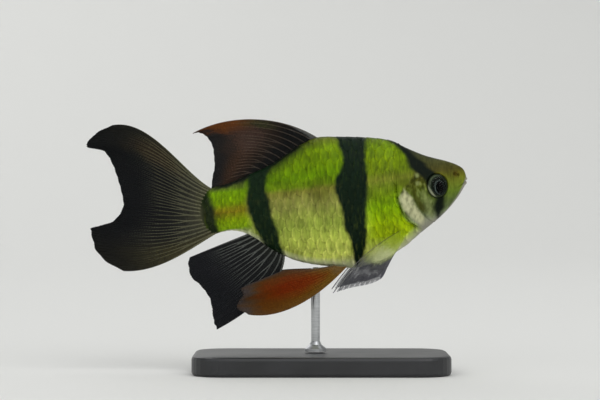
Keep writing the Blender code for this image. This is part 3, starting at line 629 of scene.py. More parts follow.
markings = barb_markings()
skin_mesh, scale_count = closed_skin()
skin = add_object("skin", skin_mesh)
settle(skin)
skin.data.materials.clear()
skin.data.materials.append(skin_material(markings))
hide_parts("head", "torso", "tail_stalk")
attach(skin, "root")


# The scales: thin horny plates in rows, rooted in the skin in front and free behind, each over
# the front of the next. There are about 22 in a row and 21 rows round the body. A plate is laid
# flat on the skin's unwrap and then pressed onto the skin itself.
SCALE_ROWS = 21
SCALE_FRONT = 0.35
SCALE_REAR = 1.85
SCALE_ROUNDING = 0.72
SCALE_HALF_HEIGHT = 0.96
SCALE_LIFT = 0.14
SCALE_SINK = 0.05
SCALE_THICKNESS = 0.06
SCALE_CAMBER = 0.015
PLATE_ALONG = (0.0, 0.34, 0.6, 0.8, 0.92, 0.985, 1.0)
PLATE_ACROSS = 5
SCALE_TURN = 0.012
SCALE_EMERGES = (0.1, 0.7)
SCALE_BURIED = 0.3
PLATE_SPREAD = 0.09
BAKE_PATCH = 0.003
# the mean of the painted edge light and shade across a plate
MEAN_PAINTED_EDGE_LIGHT = 0.488


def scale_plate():
    """One plate: x back from its root in scale pitches, y across in half heights, z in metres."""
    mesh = bpy.data.meshes.new("scale_plate")
    bm = bmesh.new()
    local = bm.loops.layers.uv.new("plate")
    top, bottom = {}, {}
    for i, along in enumerate(PLATE_ALONG):
        for j in range(PLATE_ACROSS + 1):
            across = 2 * j / PLATE_ACROSS - 1
            rear = SCALE_REAR - SCALE_ROUNDING * (1 - math.sqrt(1 - 0.97 * across * across))
            front = -SCALE_FRONT + 0.5 * across * across
            x = front + (rear - front) * along
            y = SCALE_HALF_HEIGHT * across * (0.8 + 0.2 * math.sin(math.pi * min(along / 1.2, 1.0)))
            z = SCALE_LIFT * (x + SCALE_FRONT) / (SCALE_REAR + SCALE_FRONT) - SCALE_SINK
            z += SCALE_CAMBER * (1 - across * across)
            rim = i in (0, len(PLATE_ALONG) - 1) or j in (0, PLATE_ACROSS)
            body = SCALE_THICKNESS / 2 * (0 if rim else 1)
            top[i, j] = bm.verts.new((x, y, (z + body) * MM))
            bottom[i, j] = top[i, j] if rim else bm.verts.new((x, y, (z - body) * MM))
    for i in range(len(PLATE_ALONG) - 1):
        for j in range(PLATE_ACROSS):
            corners = [(i, j), (i + 1, j), (i + 1, j + 1), (i, j + 1)]
            for grid, order in ((top, corners), (bottom, corners[::-1])):
                face = bm.faces.new([grid[corner] for corner in order])
                face.smooth = True
                for loop, (p, q) in zip(face.loops, order):
                    loop[local].uv = (PLATE_ALONG[p], q / PLATE_ACROSS)
    bm.to_mesh(mesh)
    bm.free()
    return mesh


def tree_inputs(tree, kinds):
    """Gives a geometry tree its named inputs. Returns their identifiers."""
    return {name: tree.interface.new_socket(name, in_out="INPUT", socket_type="NodeSocket" + kind).identifier
            for name, kind in kinds.items()}


def scale_tree(material):
    """Rows of plates laid on a skin by its unwrap. Returns the tree and its inputs' identifiers."""
    tree = bpy.data.node_groups.new("scale_rows", "GeometryNodeTree")
    ids = tree_inputs(tree, {"Plate": "Geometry", "Skin": "Object", "Columns": "Int", "Rows": "Int",
                             "Column Step": "Float", "Row Step": "Float", "First Column": "Float",
                             "Seed": "Int"})
    tree.interface.new_socket("Geometry", in_out="OUTPUT", socket_type="NodeSocketGeometry")
    given = add(tree, "NodeGroupInput").outputs
    skin_shape = add(tree, "GeometryNodeObjectInfo", {"Object": given["Skin"]}).outputs["Geometry"]
    unwrap = add(tree, "GeometryNodeInputNamedAttribute", {"Name": "unwrap"},
                 data_type="FLOAT_VECTOR").outputs[0]

    roots = add(tree, "GeometryNodeMeshGrid", {"Vertices X": given["Columns"], "Vertices Y": given["Rows"]})
    number = add(tree, "GeometryNodeInputIndex").outputs[0]
    column = add(tree, "FunctionNodeIntegerMath", {0: number, 1: given["Rows"]},
                 operation="DIVIDE_FLOOR").outputs[0]
    row = add(tree, "FunctionNodeIntegerMath", {0: number, 1: given["Rows"]}, operation="MODULO").outputs[0]
    odd = add(tree, "FunctionNodeIntegerMath", {0: row, 1: 2}, operation="MODULO").outputs[0]
    stagger = add(tree, "ShaderNodeMath", {0: odd, 1: 0.5, 2: column}, operation="MULTIPLY_ADD").outputs[0]
    u = add(tree, "ShaderNodeMath", {0: stagger, 1: given["Column Step"], 2: given["First Column"]},
            operation="MULTIPLY_ADD").outputs[0]
    from_middle = add(tree, "ShaderNodeMath", {0: row, 1: (SCALE_ROWS - 1) / 2},
                      operation="SUBTRACT").outputs[0]
    v = add(tree, "ShaderNodeMath", {0: from_middle, 1: given["Row Step"], 2: 0.5}, operation="MULTIPLY_ADD")
    spot = add(tree, "ShaderNodeCombineXYZ", {"X": u, "Y": v.outputs[0]}).outputs[0]
    roots = add(tree, "GeometryNodeSetPosition",
                {"Geometry": roots.outputs["Mesh"], "Position": spot}).outputs[0]
    here = add(tree, "GeometryNodeInputPosition").outputs[0]
    roots = add(tree, "GeometryNodeStoreNamedAttribute", {"Geometry": roots, "Name": "root", "Value": here},
                data_type="FLOAT_VECTOR", domain="POINT").outputs[0]

    tone = add(tree, "FunctionNodeRandomValue", {"Seed": given["Seed"]}, data_type="FLOAT").outputs[1]
    roots = add(tree, "GeometryNodeStoreNamedAttribute", {"Geometry": roots, "Name": "tone", "Value": tone},
                data_type="FLOAT", domain="POINT").outputs[0]
    turn = add(tree, "FunctionNodeRandomValue", {2: -SCALE_TURN, 3: SCALE_TURN, "Seed": given["Seed"]},
               data_type="FLOAT")
    turn = add(tree, "ShaderNodeCombineXYZ", {"Z": turn.outputs[1]}).outputs[0]
    size = add(tree, "ShaderNodeCombineXYZ",
               {"X": given["Column Step"], "Y": given["Row Step"], "Z": 1.0}).outputs[0]
    plates = add(tree, "GeometryNodeInstanceOnPoints", {"Points": roots, "Instance": given["Plate"],
                                                        "Rotation": turn, "Scale": size}).outputs[0]
    plates = add(tree, "GeometryNodeRealizeInstances", {"Geometry": plates}).outputs[0]

    root = add(tree, "GeometryNodeInputNamedAttribute", {"Name": "root"}, data_type="FLOAT_VECTOR").outputs[0]
    spread = add(tree, "ShaderNodeVectorMath", {0: here, 1: root}, operation="SUBTRACT").outputs[0]
    shrunk = add(tree, "ShaderNodeVectorMath", {0: spread, "Scale": BAKE_PATCH / PLATE_SPREAD},
                 operation="SCALE").outputs[0]
    patch = add(tree, "ShaderNodeVectorMath", {0: root, 1: shrunk}, operation="ADD").outputs[0]
    plates = add(tree, "GeometryNodeStoreNamedAttribute",
                 {"Geometry": plates, "Name": "OFBake", "Value": patch},
                 data_type="FLOAT2", domain="CORNER").outputs[0]

    on_skin = add(tree, "ShaderNodeVectorMath", {0: here, 1: (0.0, 0.001, 0.0)},
                  operation="MAXIMUM").outputs[0]
    on_skin = add(tree, "ShaderNodeVectorMath", {0: on_skin, 1: (0.999, 0.999, 0.0)},
                  operation="MINIMUM").outputs[0]
    normal = add(tree, "GeometryNodeInputNormal").outputs[0]
    trunk = add(tree, "GeometryNodeInputNamedAttribute", {"Name": "trunk"}, data_type="FLOAT").outputs[0]
    foot, up, behind = [add(tree, "GeometryNodeSampleUVSurface", {
        0: skin_shape, "UV Map": unwrap, "Sample UV": on_skin, "Value": value}, data_type=kind).outputs[0]
        for value, kind in ((here, "FLOAT_VECTOR"), (normal, "FLOAT_VECTOR"), (trunk, "FLOAT"))]
    emerged = add(tree, "ShaderNodeMapRange", {"Value": behind, "From Min": SCALE_EMERGES[0],
                                               "From Max": SCALE_EMERGES[1]}).outputs[0]
    lift = add(tree, "ShaderNodeSeparateXYZ", {0: here}).outputs["Z"]
    lift = add(tree, "ShaderNodeMath", {0: lift, 1: SCALE_BURIED * MM}, operation="ADD").outputs[0]
    lift = add(tree, "ShaderNodeMath", {0: lift, 1: emerged, 2: -SCALE_BURIED * MM},
               operation="MULTIPLY_ADD").outputs[0]
    lift = add(tree, "ShaderNodeVectorMath", {0: up, "Scale": lift}, operation="SCALE").outputs[0]
    seat = add(tree, "ShaderNodeVectorMath", {0: foot, 1: lift}, operation="ADD").outputs[0]
    plates = add(tree, "GeometryNodeSetPosition", {"Geometry": plates, "Position": seat}).outputs[0]
    plates = add(tree, "GeometryNodeSetMaterial", {"Geometry": plates, "Material": material}).outputs[0]
    add(tree, "NodeGroupOutput", {"Geometry": plates})
    return tree, ids


def scale_material(markings):
    """Horny plates over the pigment, varnished: each is painted lighter along its free edge as a painted
    highlight, and darker as painted shade where it comes out from under the one in front, with fine ribs that
    fan out from its root."""
    made, tree, shader = new_material("varnished_scales")
    position = add(tree, "ShaderNodeTexCoord").outputs["Object"]
    pattern = add(tree, "ShaderNodeGroup", {"Position": position}, node_tree=markings)
    place_on_plate = add(tree, "ShaderNodeSeparateXYZ",
                         {0: add(tree, "ShaderNodeUVMap", uv_map="plate").outputs[0]}).outputs
    # painted shade where a plate comes out from under the one in front, rising to a painted highlight near
    # its free edge
    painted_light_and_tone = add(tree, "ShaderNodeFloatCurve", {"Value": place_on_plate["X"]},
               curve=[(0.0, 0.44), (0.55, 0.455), (0.72, 0.475), (0.86, 0.51), (0.94, 0.575),
                      (1.0, 0.51)]).outputs[0]
    # the painted edge light shows in some places and fades in others, over half a millimetre or so
    shown = add(tree, "ShaderNodeTexNoise",
                {"Vector": position, "Scale": 1500.0, "Detail": 2.0}).outputs["Fac"]
    shown = add(tree, "ShaderNodeMapRange", {"Value": shown, "From Min": 0.38, "From Max": 0.62,
                                             "To Min": 0.1, "To Max": 1.5}).outputs[0]
    painted_light_and_tone = add(tree, "ShaderNodeMath", {0: painted_light_and_tone, 1: MEAN_PAINTED_EDGE_LIGHT}, operation="SUBTRACT").outputs[0]
    painted_light_and_tone = add(tree, "ShaderNodeMath", {0: painted_light_and_tone, 1: shown, 2: MEAN_PAINTED_EDGE_LIGHT}, operation="MULTIPLY_ADD").outputs[0]
    tone = add(tree, "ShaderNodeAttribute", attribute_name="tone").outputs["Fac"]
    tone = add(tree, "ShaderNodeMapRange", {"Value": tone, "To Min": 1.84, "To Max": 2.16}).outputs[0]
    painted_light_and_tone = add(tree, "ShaderNodeMath", {0: painted_light_and_tone, 1: tone}, operation="MULTIPLY").outputs[0]
    colour = add(tree, "ShaderNodeVectorMath", {0: pattern.outputs["Color"], "Scale": painted_light_and_tone},
                 operation="SCALE")
    # a painted highlight along the free edge, lighter and a little bluer
    rim = add(tree, "ShaderNodeMapRange",
              {"Value": place_on_plate["X"], "From Min": 0.8, "From Max": 0.95}).outputs[0]
    painted_rim_highlight = add(tree, "ShaderNodeVectorMath", {0: colour.outputs[0], 1: (1.12, 1.05, 1.25)},
               operation="MULTIPLY")
    colour = laid_over(tree, colour.outputs[0], painted_rim_highlight.outputs[0], rim)
    fan = add(tree, "ShaderNodeMath", {0: place_on_plate["Y"], 1: 90.0}, operation="MULTIPLY").outputs[0]
    ribs = add(tree, "ShaderNodeMath", {0: fan}, operation="SINE").outputs[0]
    grain = add(tree, "ShaderNodeTexNoise",
                {"Vector": position, "Scale": 5200.0, "Detail": 2.0}).outputs["Fac"]
    relief = add(tree, "ShaderNodeMath", {0: ribs, 1: 0.3, 2: grain}, operation="MULTIPLY_ADD").outputs[0]
    bump = add(tree, "ShaderNodeBump", {"Height": relief, "Strength": 0.35, "Distance": 0.00004}).outputs[0]
    rough = add(tree, "ShaderNodeMapRange", {"Value": grain, "To Min": 0.26, "To Max": 0.42}).outputs[0]
    feed(tree, shader, {"Base Color": colour, "Normal": bump, "Roughness": rough, "Specular IOR Level": 0.07})
    return made


scales = add_object("scales", scale_plate())
tree, ids = scale_tree(scale_material(markings))
rows = scales.modifiers.new("rows", "NODES")
rows.node_group = tree
column_step = 1.0 / scale_count[-1]
gill_count, stalk_count = np.interp([GILL_RING, STANDARD_LENGTH - 1.2], skin_flank()[0][:, 0], scale_count)
for name, value in (("Skin", skin), ("Columns", int(stalk_count - gill_count + 0.6)), ("Rows", SCALE_ROWS),
                    ("Column Step", column_step), ("Row Step", 1 / (SCALE_ROWS + 0.92)),
                    ("First Column", float(gill_count - 1.3) * column_step), ("Seed", 7)):
    rows[ids[name]] = value
settle(scales)
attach(scales, "root")


# The eyes: a lathed glass ball with a near-black iris and a black pupil that stands forward in it,
# a thin grey ring round the pupil and a silver crescent low behind, under a clear domed cornea.
IRIS_EDGE = 0.94
PUPIL_FORWARD = 0.3
PUPIL_DROP = 0.42
PUPIL_NARROWING = 0.28
CORNEA_THICKNESS = 0.07
EYE_STEPS = 56
IRIS_STOPS = [(0.0, "#010202"), (0.51, "#010202"), (0.54, "#2c3533"), (0.6, "#353e3a"), (0.64, "#101510"),
              (0.72, "#0c110b"), (0.8, "#222a1e"), (0.88, "#424c38"), (0.95, "#2c3424"), (1.0, "#141910")]
CRESCENT_SILVER = "#9ba183"
LOW_REAR = (-0.84, -0.54, 0.0)
EYEBALL_PROFILE = [(0.0, -1.3), (0.5, -1.126), (0.8, -0.78), (0.97, -0.316), (1.0, 0.0), (0.985, 0.2),
                   (0.955, 0.36), (0.9, 0.44), (0.8, 0.51), (0.7, 0.565), (0.62, 0.6), (0.55, 0.615),
                   (0.53, 0.52), (0.51, 0.57), (0.42, 0.66), (0.28, 0.75), (0.14, 0.805), (0.0, 0.82)]


def lathed(name, profile, y_side):
    """A closed turned shape on an eye's axis: r in eye radii, depth outwards in millimetres. The
    pupil sits forward of the middle and a little low, and is taller than it is wide."""
    bm = bmesh.new()
    wheel = bm.loops.layers.uv.new("wheel")
    rings = []
    for r, depth in profile:
        steps = 1 if r == 0 else EYE_STEPS
        angles = [2 * math.pi * k / steps for k in range(steps)]
        rings.append([bm.verts.new((EYE_RADII[0] * r * math.cos(a), -depth, EYE_RADII[2] * r * math.sin(a)))
                      for a in angles])
    turns = {vert: (vert.co.x / EYE_RADII[0] / 2 + 0.5, vert.co.z / EYE_RADII[2] / 2 + 0.5)
             for vert in bm.verts}
    if profile is EYEBALL_PROFILE:
        for vert in bm.verts:
            r = math.hypot(vert.co.x / EYE_RADII[0], vert.co.z / EYE_RADII[2])
            share = float(ease((0.95 - r) / 0.5)) if vert.co.y < 0 else 0.0
            vert.co.x = vert.co.x * (1 - PUPIL_NARROWING * share) + PUPIL_FORWARD * share
            vert.co.z -= PUPIL_DROP * share
    for ring, after in zip(rings, rings[1:]):
        for k in range(EYE_STEPS):
            m = (k + 1) % EYE_STEPS
            corners = [ring[k % len(ring)], ring[m % len(ring)], after[m % len(after)], after[k % len(after)]]
            corners = list(dict.fromkeys(corners))
            if len(corners) > 2:
                bm.faces.new(corners).smooth = True
    bmesh.ops.recalc_face_normals(bm, faces=bm.faces)
    for face in bm.faces:
        for loop in face.loops:
            loop[wheel].uv = turns[loop.vert]
    if y_side > 0:
        bmesh.ops.scale(bm, vec=(1, -1, 1), verts=bm.verts)
        bmesh.ops.reverse_faces(bm, faces=bm.faces)
    middle = Matrix.Translation(Vector(place(EYE[0], EYE[1], y_side * EYE[2])) / MM)
    turned = middle @ Matrix.Rotation(-PITCH, 4, "Y") @ Matrix.Rotation(-y_side * EYE_TURN, 4, "Z")
    bmesh.ops.transform(bm, matrix=Matrix.Scale(MM, 4) @ turned, verts=bm.verts)
    mesh = bpy.data.meshes.new(name)
    bm.to_mesh(mesh)
    bm.free()
    return add_object(name, mesh)


def iris_material():
    """Lacquered glass eye: black lens, near-black iris with faint rays, grey ring, silver crescent."""
    made, tree, shader = new_material("glass_iris")
    wheel = add(tree, "ShaderNodeUVMap", uv_map="wheel").outputs[0]
    centred = add(tree, "ShaderNodeMapping",
                  {"Vector": wheel, "Location": (-1.0, -1.0, 0.0), "Scale": (2.0, 2.0, 1.0)})
    centred = centred.outputs[0]
    away = add(tree, "ShaderNodeVectorMath", {0: centred}, operation="LENGTH").outputs["Value"]
    rings = add(tree, "ShaderNodeValToRGB", {"Fac": away}, stops=IRIS_STOPS).outputs[0]
    rearward = add(tree, "ShaderNodeSeparateXYZ", {0: centred}).outputs["X"]
    rearward = add(tree, "ShaderNodeMapRange", {"Value": rearward, "From Min": 0.5, "From Max": -0.5,
                                                "To Min": 0.5, "To Max": 1.25}).outputs[0]
    rings = add(tree, "ShaderNodeVectorMath", {0: rings, "Scale": rearward}, operation="SCALE").outputs[0]
    low_rear = add(tree, "ShaderNodeVectorMath", {0: centred}, operation="NORMALIZE").outputs[0]
    low_rear = add(tree, "ShaderNodeVectorMath", {0: low_rear, 1: LOW_REAR}, operation="DOT_PRODUCT")
    arc = add(tree, "ShaderNodeMath", {0: low_rear.outputs["Value"], 1: 0.57, 2: away},
              operation="MULTIPLY_ADD")
    crescent = add(tree, "ShaderNodeMapRange",
                   {"Value": arc.outputs[0], "From Min": 1.34, "From Max": 1.42}).outputs[0]
    inside = add(tree, "ShaderNodeMapRange", {"Value": away, "From Min": 1.0, "From Max": 0.94}).outputs[0]
    crescent = add(tree, "ShaderNodeMath", {0: crescent, 1: inside}, operation="MULTIPLY").outputs[0]
    rays = add(tree, "ShaderNodeTexNoise", {"Vector": centred, "Scale": 9.0, "Detail": 3.0}).outputs["Fac"]
    rays = add(tree, "ShaderNodeMapRange", {"Value": rays, "To Min": 0.6, "To Max": 1.5}).outputs[0]
    rings = add(tree, "ShaderNodeVectorMath", {0: rings, "Scale": rays}, operation="SCALE").outputs[0]
    colour = laid_over(tree, rings, linear(CRESCENT_SILVER), crescent)
    feed(tree, shader, {"Base Color": colour, "Roughness": 0.3, "Specular IOR Level": 0.03})
    return made


def cornea_material():
    """Clear lacquer, polished. It's all but invisible save for its glints, so it is nearly
    transparent here."""
    made, tree, shader = new_material("clear_lacquer")
    position = add(tree, "ShaderNodeTexCoord").outputs["Object"]
    haze = add(tree, "ShaderNodeTexNoise", {"Vector": position, "Scale": 900.0}).outputs["Fac"]
    rough = add(tree, "ShaderNodeMapRange", {"Value": haze, "To Min": 0.02, "To Max": 0.1}).outputs[0]
    feed(tree, shader, {"Roughness": rough, "Base Color": linear("#1c201b"), "Specular IOR Level": 0.8,
                        "Alpha": 0.03})
    return made


iris = iris_material()
clear = cornea_material()
dome = [IRIS_EDGE * math.sin(math.pi / 2 * k / 12) for k in range(13)]
outer = [(r, EYE_RADII[1] * math.sqrt(1 - r * r)) for r in dome]
inner = [(r * 0.985, depth - CORNEA_THICKNESS) for r, depth in outer]
for name, y_side in (("right", -1), ("left", 1)):
    ball = lathed("eye_ball_" + name, EYEBALL_PROFILE, y_side)
    ball.data.materials.append(iris)
    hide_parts("eye_" + name)
    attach(ball, "root")
    cornea = lathed("cornea_" + name, outer + inner[::-1], y_side)
    cornea.data.materials.append(clear)
    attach(cornea, "root")


# The fins: a thin web of skin stretched over jointed rays, which fork towards the margin. The web
# is cast as a film a tenth of a millimetre thick, smoky and almost opaque but for the clear pectoral
# fins, and the rays stand proud of it on both sides. Each key is (place across the fin, root, bend,
# lift, tip) of a ray, as (s, h, y).
WEB_THICKNESS = 0.12
FIN_ROOT_DEPTH = 0.5
WEB_ROWS = 44
WEB_COLUMNS = 8
RAY_RINGS = 0.16
JOINT_NARROWING = 0.82
RINGS_PER_JOINT = 3
FORKS = (0.18, 0.48)
OUTER_RAY_STOUTNESS = 1.2
CAUDAL_KEYS = [
    (0.00, (46.2, 4.2, 0), (50.7, 7.3, 0), (55.2, 17.8, 0), (62.2, 17.2, 0)),
    (0.07, (46.7, 3.8, 0), (51.1, 7.0, 0), (55.4, 16.6, 0), (65.0, 16.3, 0)),
    (0.14, (47.2, 3.4, 0), (51.5, 6.5, 0), (55.6, 14.8, 0), (67.3, 14.2, 0)),
    (0.25, (47.8, 2.6, 0), (51.4, 4.9, 0), (55.1, 10.2, 0), (64.2, 12.8, 0)),
    (0.40, (48.4, 1.1, 0), (51.6, 2.7, 0), (55.8, 5.8, 0), (62.5, 8.4, 0)),
    (0.57, (48.5, -0.5, 0), (51.9, 0.4, 0), (56.2, 2.2, 0), (61.8, 3.2, 0)),
    (0.70, (48.1, -2.0, 0), (51.9, -2.3, 0), (57.7, -2.2, 0), (64.3, 0.0, 0)),
    (0.79, (47.7, -2.9, 0), (52.4, -3.9, 0), (58.7, -4.4, 0), (68.3, -0.8, 0)),
    (0.88, (47.1, -3.6, 0), (52.3, -5.4, 0), (58.2, -6.8, 0), (68.0, -4.1, 0)),
    (0.94, (46.6, -4.2, 0), (51.6, -5.9, 0), (57.7, -8.5, 0), (66.4, -6.8, 0)),
    (1.00, (46.0, -4.8, 0), (50.9, -6.5, 0), (57.2, -10.2, 0), (63.4, -9.0, 0)),
]
DORSAL_KEYS = [
    (0.00, (25.4, 10.6, 0), (31.2, 15.2, 0), (40.8, 16.9, 0), (47.9, 14.0, 0)),
    (0.12, (26.9, 10.4, 0), (31.5, 14.1, 0), (40.0, 15.8, 0), (47.1, 14.1, 0)),
    (0.30, (29.4, 9.4, 0), (32.3, 12.1, 0), (38.5, 13.6, 0), (45.6, 13.2, 0)),
    (0.50, (31.9, 7.9, 0), (34.4, 10.4, 0), (38.8, 11.1, 0), (44.6, 10.7, 0)),
    (0.70, (34.5, 6.6, 0), (36.0, 8.6, 0), (40.0, 8.7, 0), (44.7, 7.9, 0)),
    (0.87, (36.9, 5.9, 0), (38.4, 6.9, 0), (41.2, 6.4, 0), (45.4, 5.6, 0)),
    (1.00, (38.8, 5.5, 0), (40.6, 4.85, 0), (43.2, 4.15, 0), (45.8, 3.75, 0)),
]
ANAL_KEYS = [
    (0.00, (34.3, -10.1, 0), (34.2, -13.4, 0), (39.3, -18.2, 0), (47.9, -21.5, 0)),
    (0.15, (34.8, -9.7, 0), (35.7, -12.5, 0), (41.3, -16.3, 0), (48.3, -20.0, 0)),
    (0.35, (36.0, -8.7, 0), (37.8, -10.4, 0), (42.7, -13.4, 0), (48.4, -16.5, 0)),
    (0.55, (37.1, -7.7, 0), (39.1, -8.8, 0), (44.2, -10.9, 0), (49.6, -13.7, 0)),
    (0.75, (38.3, -6.6, 0), (40.7, -7.5, 0), (45.4, -8.6, 0), (51.5, -11.1, 0)),
    (0.90, (39.1, -5.9, 0), (41.9, -6.6, 0), (45.9, -7.5, 0), (51.6, -9.1, 0)),
    (1.00, (39.6, -5.5, 0), (42.5, -5.8, 0), (46.9, -6.9, 0), (51.2, -8.1, 0)),
]
PELVIC_KEYS = [
    (0.00, (23.5, -13.6, 1.5), (28.2, -17.2, 2.5), (35.5, -21.2, 3.9), (41.8, -19.3, 4.6)),
    (0.20, (23.9, -13.6, 1.45), (28.2, -16.1, 2.4), (35.3, -19.3, 3.7), (43.7, -17.9, 4.4)),
    (0.45, (24.4, -13.5, 1.4), (28.2, -15.2, 2.3), (35.9, -17.2, 3.4), (43.1, -16.7, 4.1)),
    (0.70, (24.9, -13.4, 1.35), (28.5, -14.3, 2.2), (36.1, -15.3, 3.1), (42.3, -15.7, 3.7)),
    (0.86, (25.2, -13.3, 1.3), (28.7, -13.6, 2.1), (36.2, -13.5, 2.8), (42.6, -14.7, 3.4)),
    (1.00, (25.5, -13.2, 1.3), (28.4, -13.2, 1.9), (31.9, -12.4, 2.5), (35.1, -12.4, 3.0)),
]
PECTORAL_KEYS = [
    (0.00, (12.7, -7.6, 3.9), (15.9, -9.0, 5.4), (20.9, -10.7, 7.4), (26.4, -17.2, 8.6)),
    (0.25, (12.7, -7.9, 3.8), (15.8, -9.9, 5.2), (20.1, -12.7, 6.9), (23.2, -16.7, 8.0)),
    (0.50, (12.6, -8.3, 3.6), (15.3, -10.5, 4.9), (18.7, -13.4, 6.3), (20.3, -16.5, 7.3)),
    (0.75, (12.5, -8.7, 3.4), (14.6, -10.7, 4.6), (16.8, -13.1, 5.6), (17.7, -15.8, 6.5)),
    (1.00, (12.4, -9.1, 3.2), (13.7, -10.7, 4.2), (15.2, -12.2, 4.8), (16.2, -13.9, 5.3)),
]


def fin_surface(keys, root, wave):
    """The middle surface of a fin, as a function of the places across it and along its rays."""
    across_keys = [key[0] for key in keys]
    curves = [[smooth_curve([(a, key[point][axis]) for a, key in zip(across_keys, keys)])
               for axis in range(3)] for point in range(1, 5)]

    def point(across, along):
        controls = [np.stack([curve(across) for curve in axes], axis=-1) for axes in curves]
        controls[0] = root(controls[0])
        rest = 1 - along
        weights = (rest ** 3, 3 * rest ** 2 * along, 3 * rest * along ** 2, along ** 3)
        spot = sum(weight[..., None] * control for weight, control in zip(weights, controls))
        spot[..., 2] += wave * along ** 2 * np.sin(2 * math.pi * (1.3 * across + 0.4 * along))
        return spot

    return point


def fin_web(name, surface, rays, notch, y_side):
    """The film of a fin, slightly drawn in at the margin between the ray tips."""
    across = np.linspace(0, 1, WEB_COLUMNS * (rays - 1) + 1)
    along = np.linspace(0, 1, WEB_ROWS + 1)
    across, along = np.meshgrid(across, along, indexing="ij")
    drawn_in = 1 - notch * np.sin(math.pi * across * (rays - 1)) ** 2
    spot = surface(across, along * drawn_in)
    verts = place(spot[..., 0], spot[..., 1], y_side * spot[..., 2]).reshape(-1, 3)
    columns, rows = across.shape
    faces = [(i * rows + j, (i + 1) * rows + j, (i + 1) * rows + j + 1, i * rows + j + 1)
             for i in range(columns - 1) for j in range(rows - 1)]
    mesh = bpy.data.meshes.new(name)
    mesh.from_pydata(verts.tolist(), [], faces)
    spots = np.stack([across, along, 0 * along], axis=-1).ravel()
    mesh.attributes.new("on_fin", "FLOAT_VECTOR", "POINT").data.foreach_set("vector", spots)
    mesh.shade_smooth()
    web = add_object(name, mesh)
    film = web.modifiers.new("film", "SOLIDIFY")
    film.thickness = WEB_THICKNESS * MM
    film.offset = 0.0
    return settle(web)


def ray_strands(rays, simple):
    """Each strand of each ray as arrays of places across and along: whole, then forked twice."""
    pitch = 1 / (rays - 1)
    strands = []
    for ray in range(rays):
        forked = simple[0] <= ray < rays - simple[1]
        lengths = [(0.0, 0.2, 0), (FORKS[0], 0.5, 1), (FORKS[1], 1.0, 2)] if forked else [(0.0, 1.0, 0)]
        for start, end, level in lengths:
            along = np.linspace(start, end, max(int(40 * (end - start)), 4))
            first = 0.24 * pitch * ease((along - FORKS[0]) / 0.25)
            second = 0.12 * pitch * ease((along - FORKS[1]) / 0.25)
            for number in range(2 ** level):
                one = 0 if level == 0 else (1 if number % 2 else -1)
                two = 0 if level < 2 else (1 if number // 2 else -1)
                across = np.clip(ray * pitch + one * first + two * second, 0.0, 1.0)
                strands.append((across, along, ray))
    return strands


def ray_tree():
    """Strands turned into closed jointed tubes. Returns the tree and its inputs' identifiers."""
    tree = bpy.data.node_groups.new("fin_rays", "GeometryNodeTree")
    ids = tree_inputs(tree, {"Strands": "Geometry", "Ring Spacing": "Float", "Narrowing": "Float",
                             "Material": "Material"})
    tree.interface.new_socket("Geometry", in_out="OUTPUT", socket_type="NodeSocketGeometry")
    given = add(tree, "NodeGroupInput").outputs
    strands = add(tree, "GeometryNodeMeshToCurve", {0: given["Strands"]}).outputs[0]
    strands = add(tree, "GeometryNodeResampleCurve", {"Curve": strands, "Length": given["Ring Spacing"]},
                  mode="LENGTH").outputs[0]
    ring = add(tree, "GeometryNodeSplineParameter").outputs["Index"]
    place_in_joint = add(tree, "FunctionNodeIntegerMath", {0: ring, 1: RINGS_PER_JOINT},
                         operation="MODULO").outputs[0]
    narrow = add(tree, "FunctionNodeCompare", {2: place_in_joint, 3: RINGS_PER_JOINT - 1}, data_type="INT",
                 operation="EQUAL").outputs[0]
    factor = add(tree, "GeometryNodeSwitch", {"Switch": narrow, "False": 1.0, "True": given["Narrowing"]},
                 input_type="FLOAT").outputs[0]
    radius = add(tree, "GeometryNodeInputNamedAttribute", {"Name": "ray_radius"},
                 data_type="FLOAT").outputs[0]
    radius = add(tree, "ShaderNodeMath", {0: radius, 1: factor}, operation="MULTIPLY").outputs[0]
    outline = add(tree, "GeometryNodeCurvePrimitiveCircle", {"Resolution": 6, "Radius": 1.0}).outputs[0]
    tubes = add(tree, "GeometryNodeCurveToMesh", {"Curve": strands, "Profile Curve": outline,
                                                  "Scale": radius, "Fill Caps": True}).outputs[0]
    tubes = add(tree, "GeometryNodeSetShadeSmooth", {"Geometry": tubes, "Shade Smooth": True}).outputs[0]
    tubes = add(tree, "GeometryNodeRealizeInstances", {"Geometry": tubes}).outputs[0]
    tubes = add(tree, "GeometryNodeSetMaterial",
                {"Geometry": tubes, "Material": given["Material"]}).outputs[0]
    add(tree, "NodeGroupOutput", {"Geometry": tubes})
    return tree, ids


def fin_rays(name, surface, rays, simple, y_side, thickness, rays_tree, material):
    """The rays of a fin. Thickness gives their radius at the root and at the tip."""
    verts, edges, radii, spots = [], [], [], []
    for across, along, ray in ray_strands(rays, simple):
        spot = surface(across, along)
        first = len(verts)
        verts.extend(place(spot[:, 0], spot[:, 1], y_side * spot[:, 2]).tolist())
        edges.extend((first + k, first + k + 1) for k in range(len(along) - 1))
        stout = OUTER_RAY_STOUTNESS if ray in (0, rays - 1) else 1.0
        radii.extend(stout * MM * (thickness[0] + (thickness[1] - thickness[0]) * along ** 0.5))
        spots.extend(np.stack([across, along, 0 * along + 1], axis=-1).tolist())
    mesh = bpy.data.meshes.new(name)
    mesh.from_pydata(verts, edges, [])
    mesh.attributes.new("ray_radius", "FLOAT", "POINT").data.foreach_set("value", radii)
    mesh.attributes.new("on_fin", "FLOAT_VECTOR", "POINT").data.foreach_set("vector", np.array(spots).ravel())
    made = add_object(name, mesh)
    tubes = made.modifiers.new("tubes", "NODES")
    tubes.node_group = rays_tree[0]
    for key, value in (("Ring Spacing", RAY_RINGS * MM), ("Narrowing", JOINT_NARROWING),
                       ("Material", material)):
        tubes[rays_tree[1][key]] = value
    return settle(made)


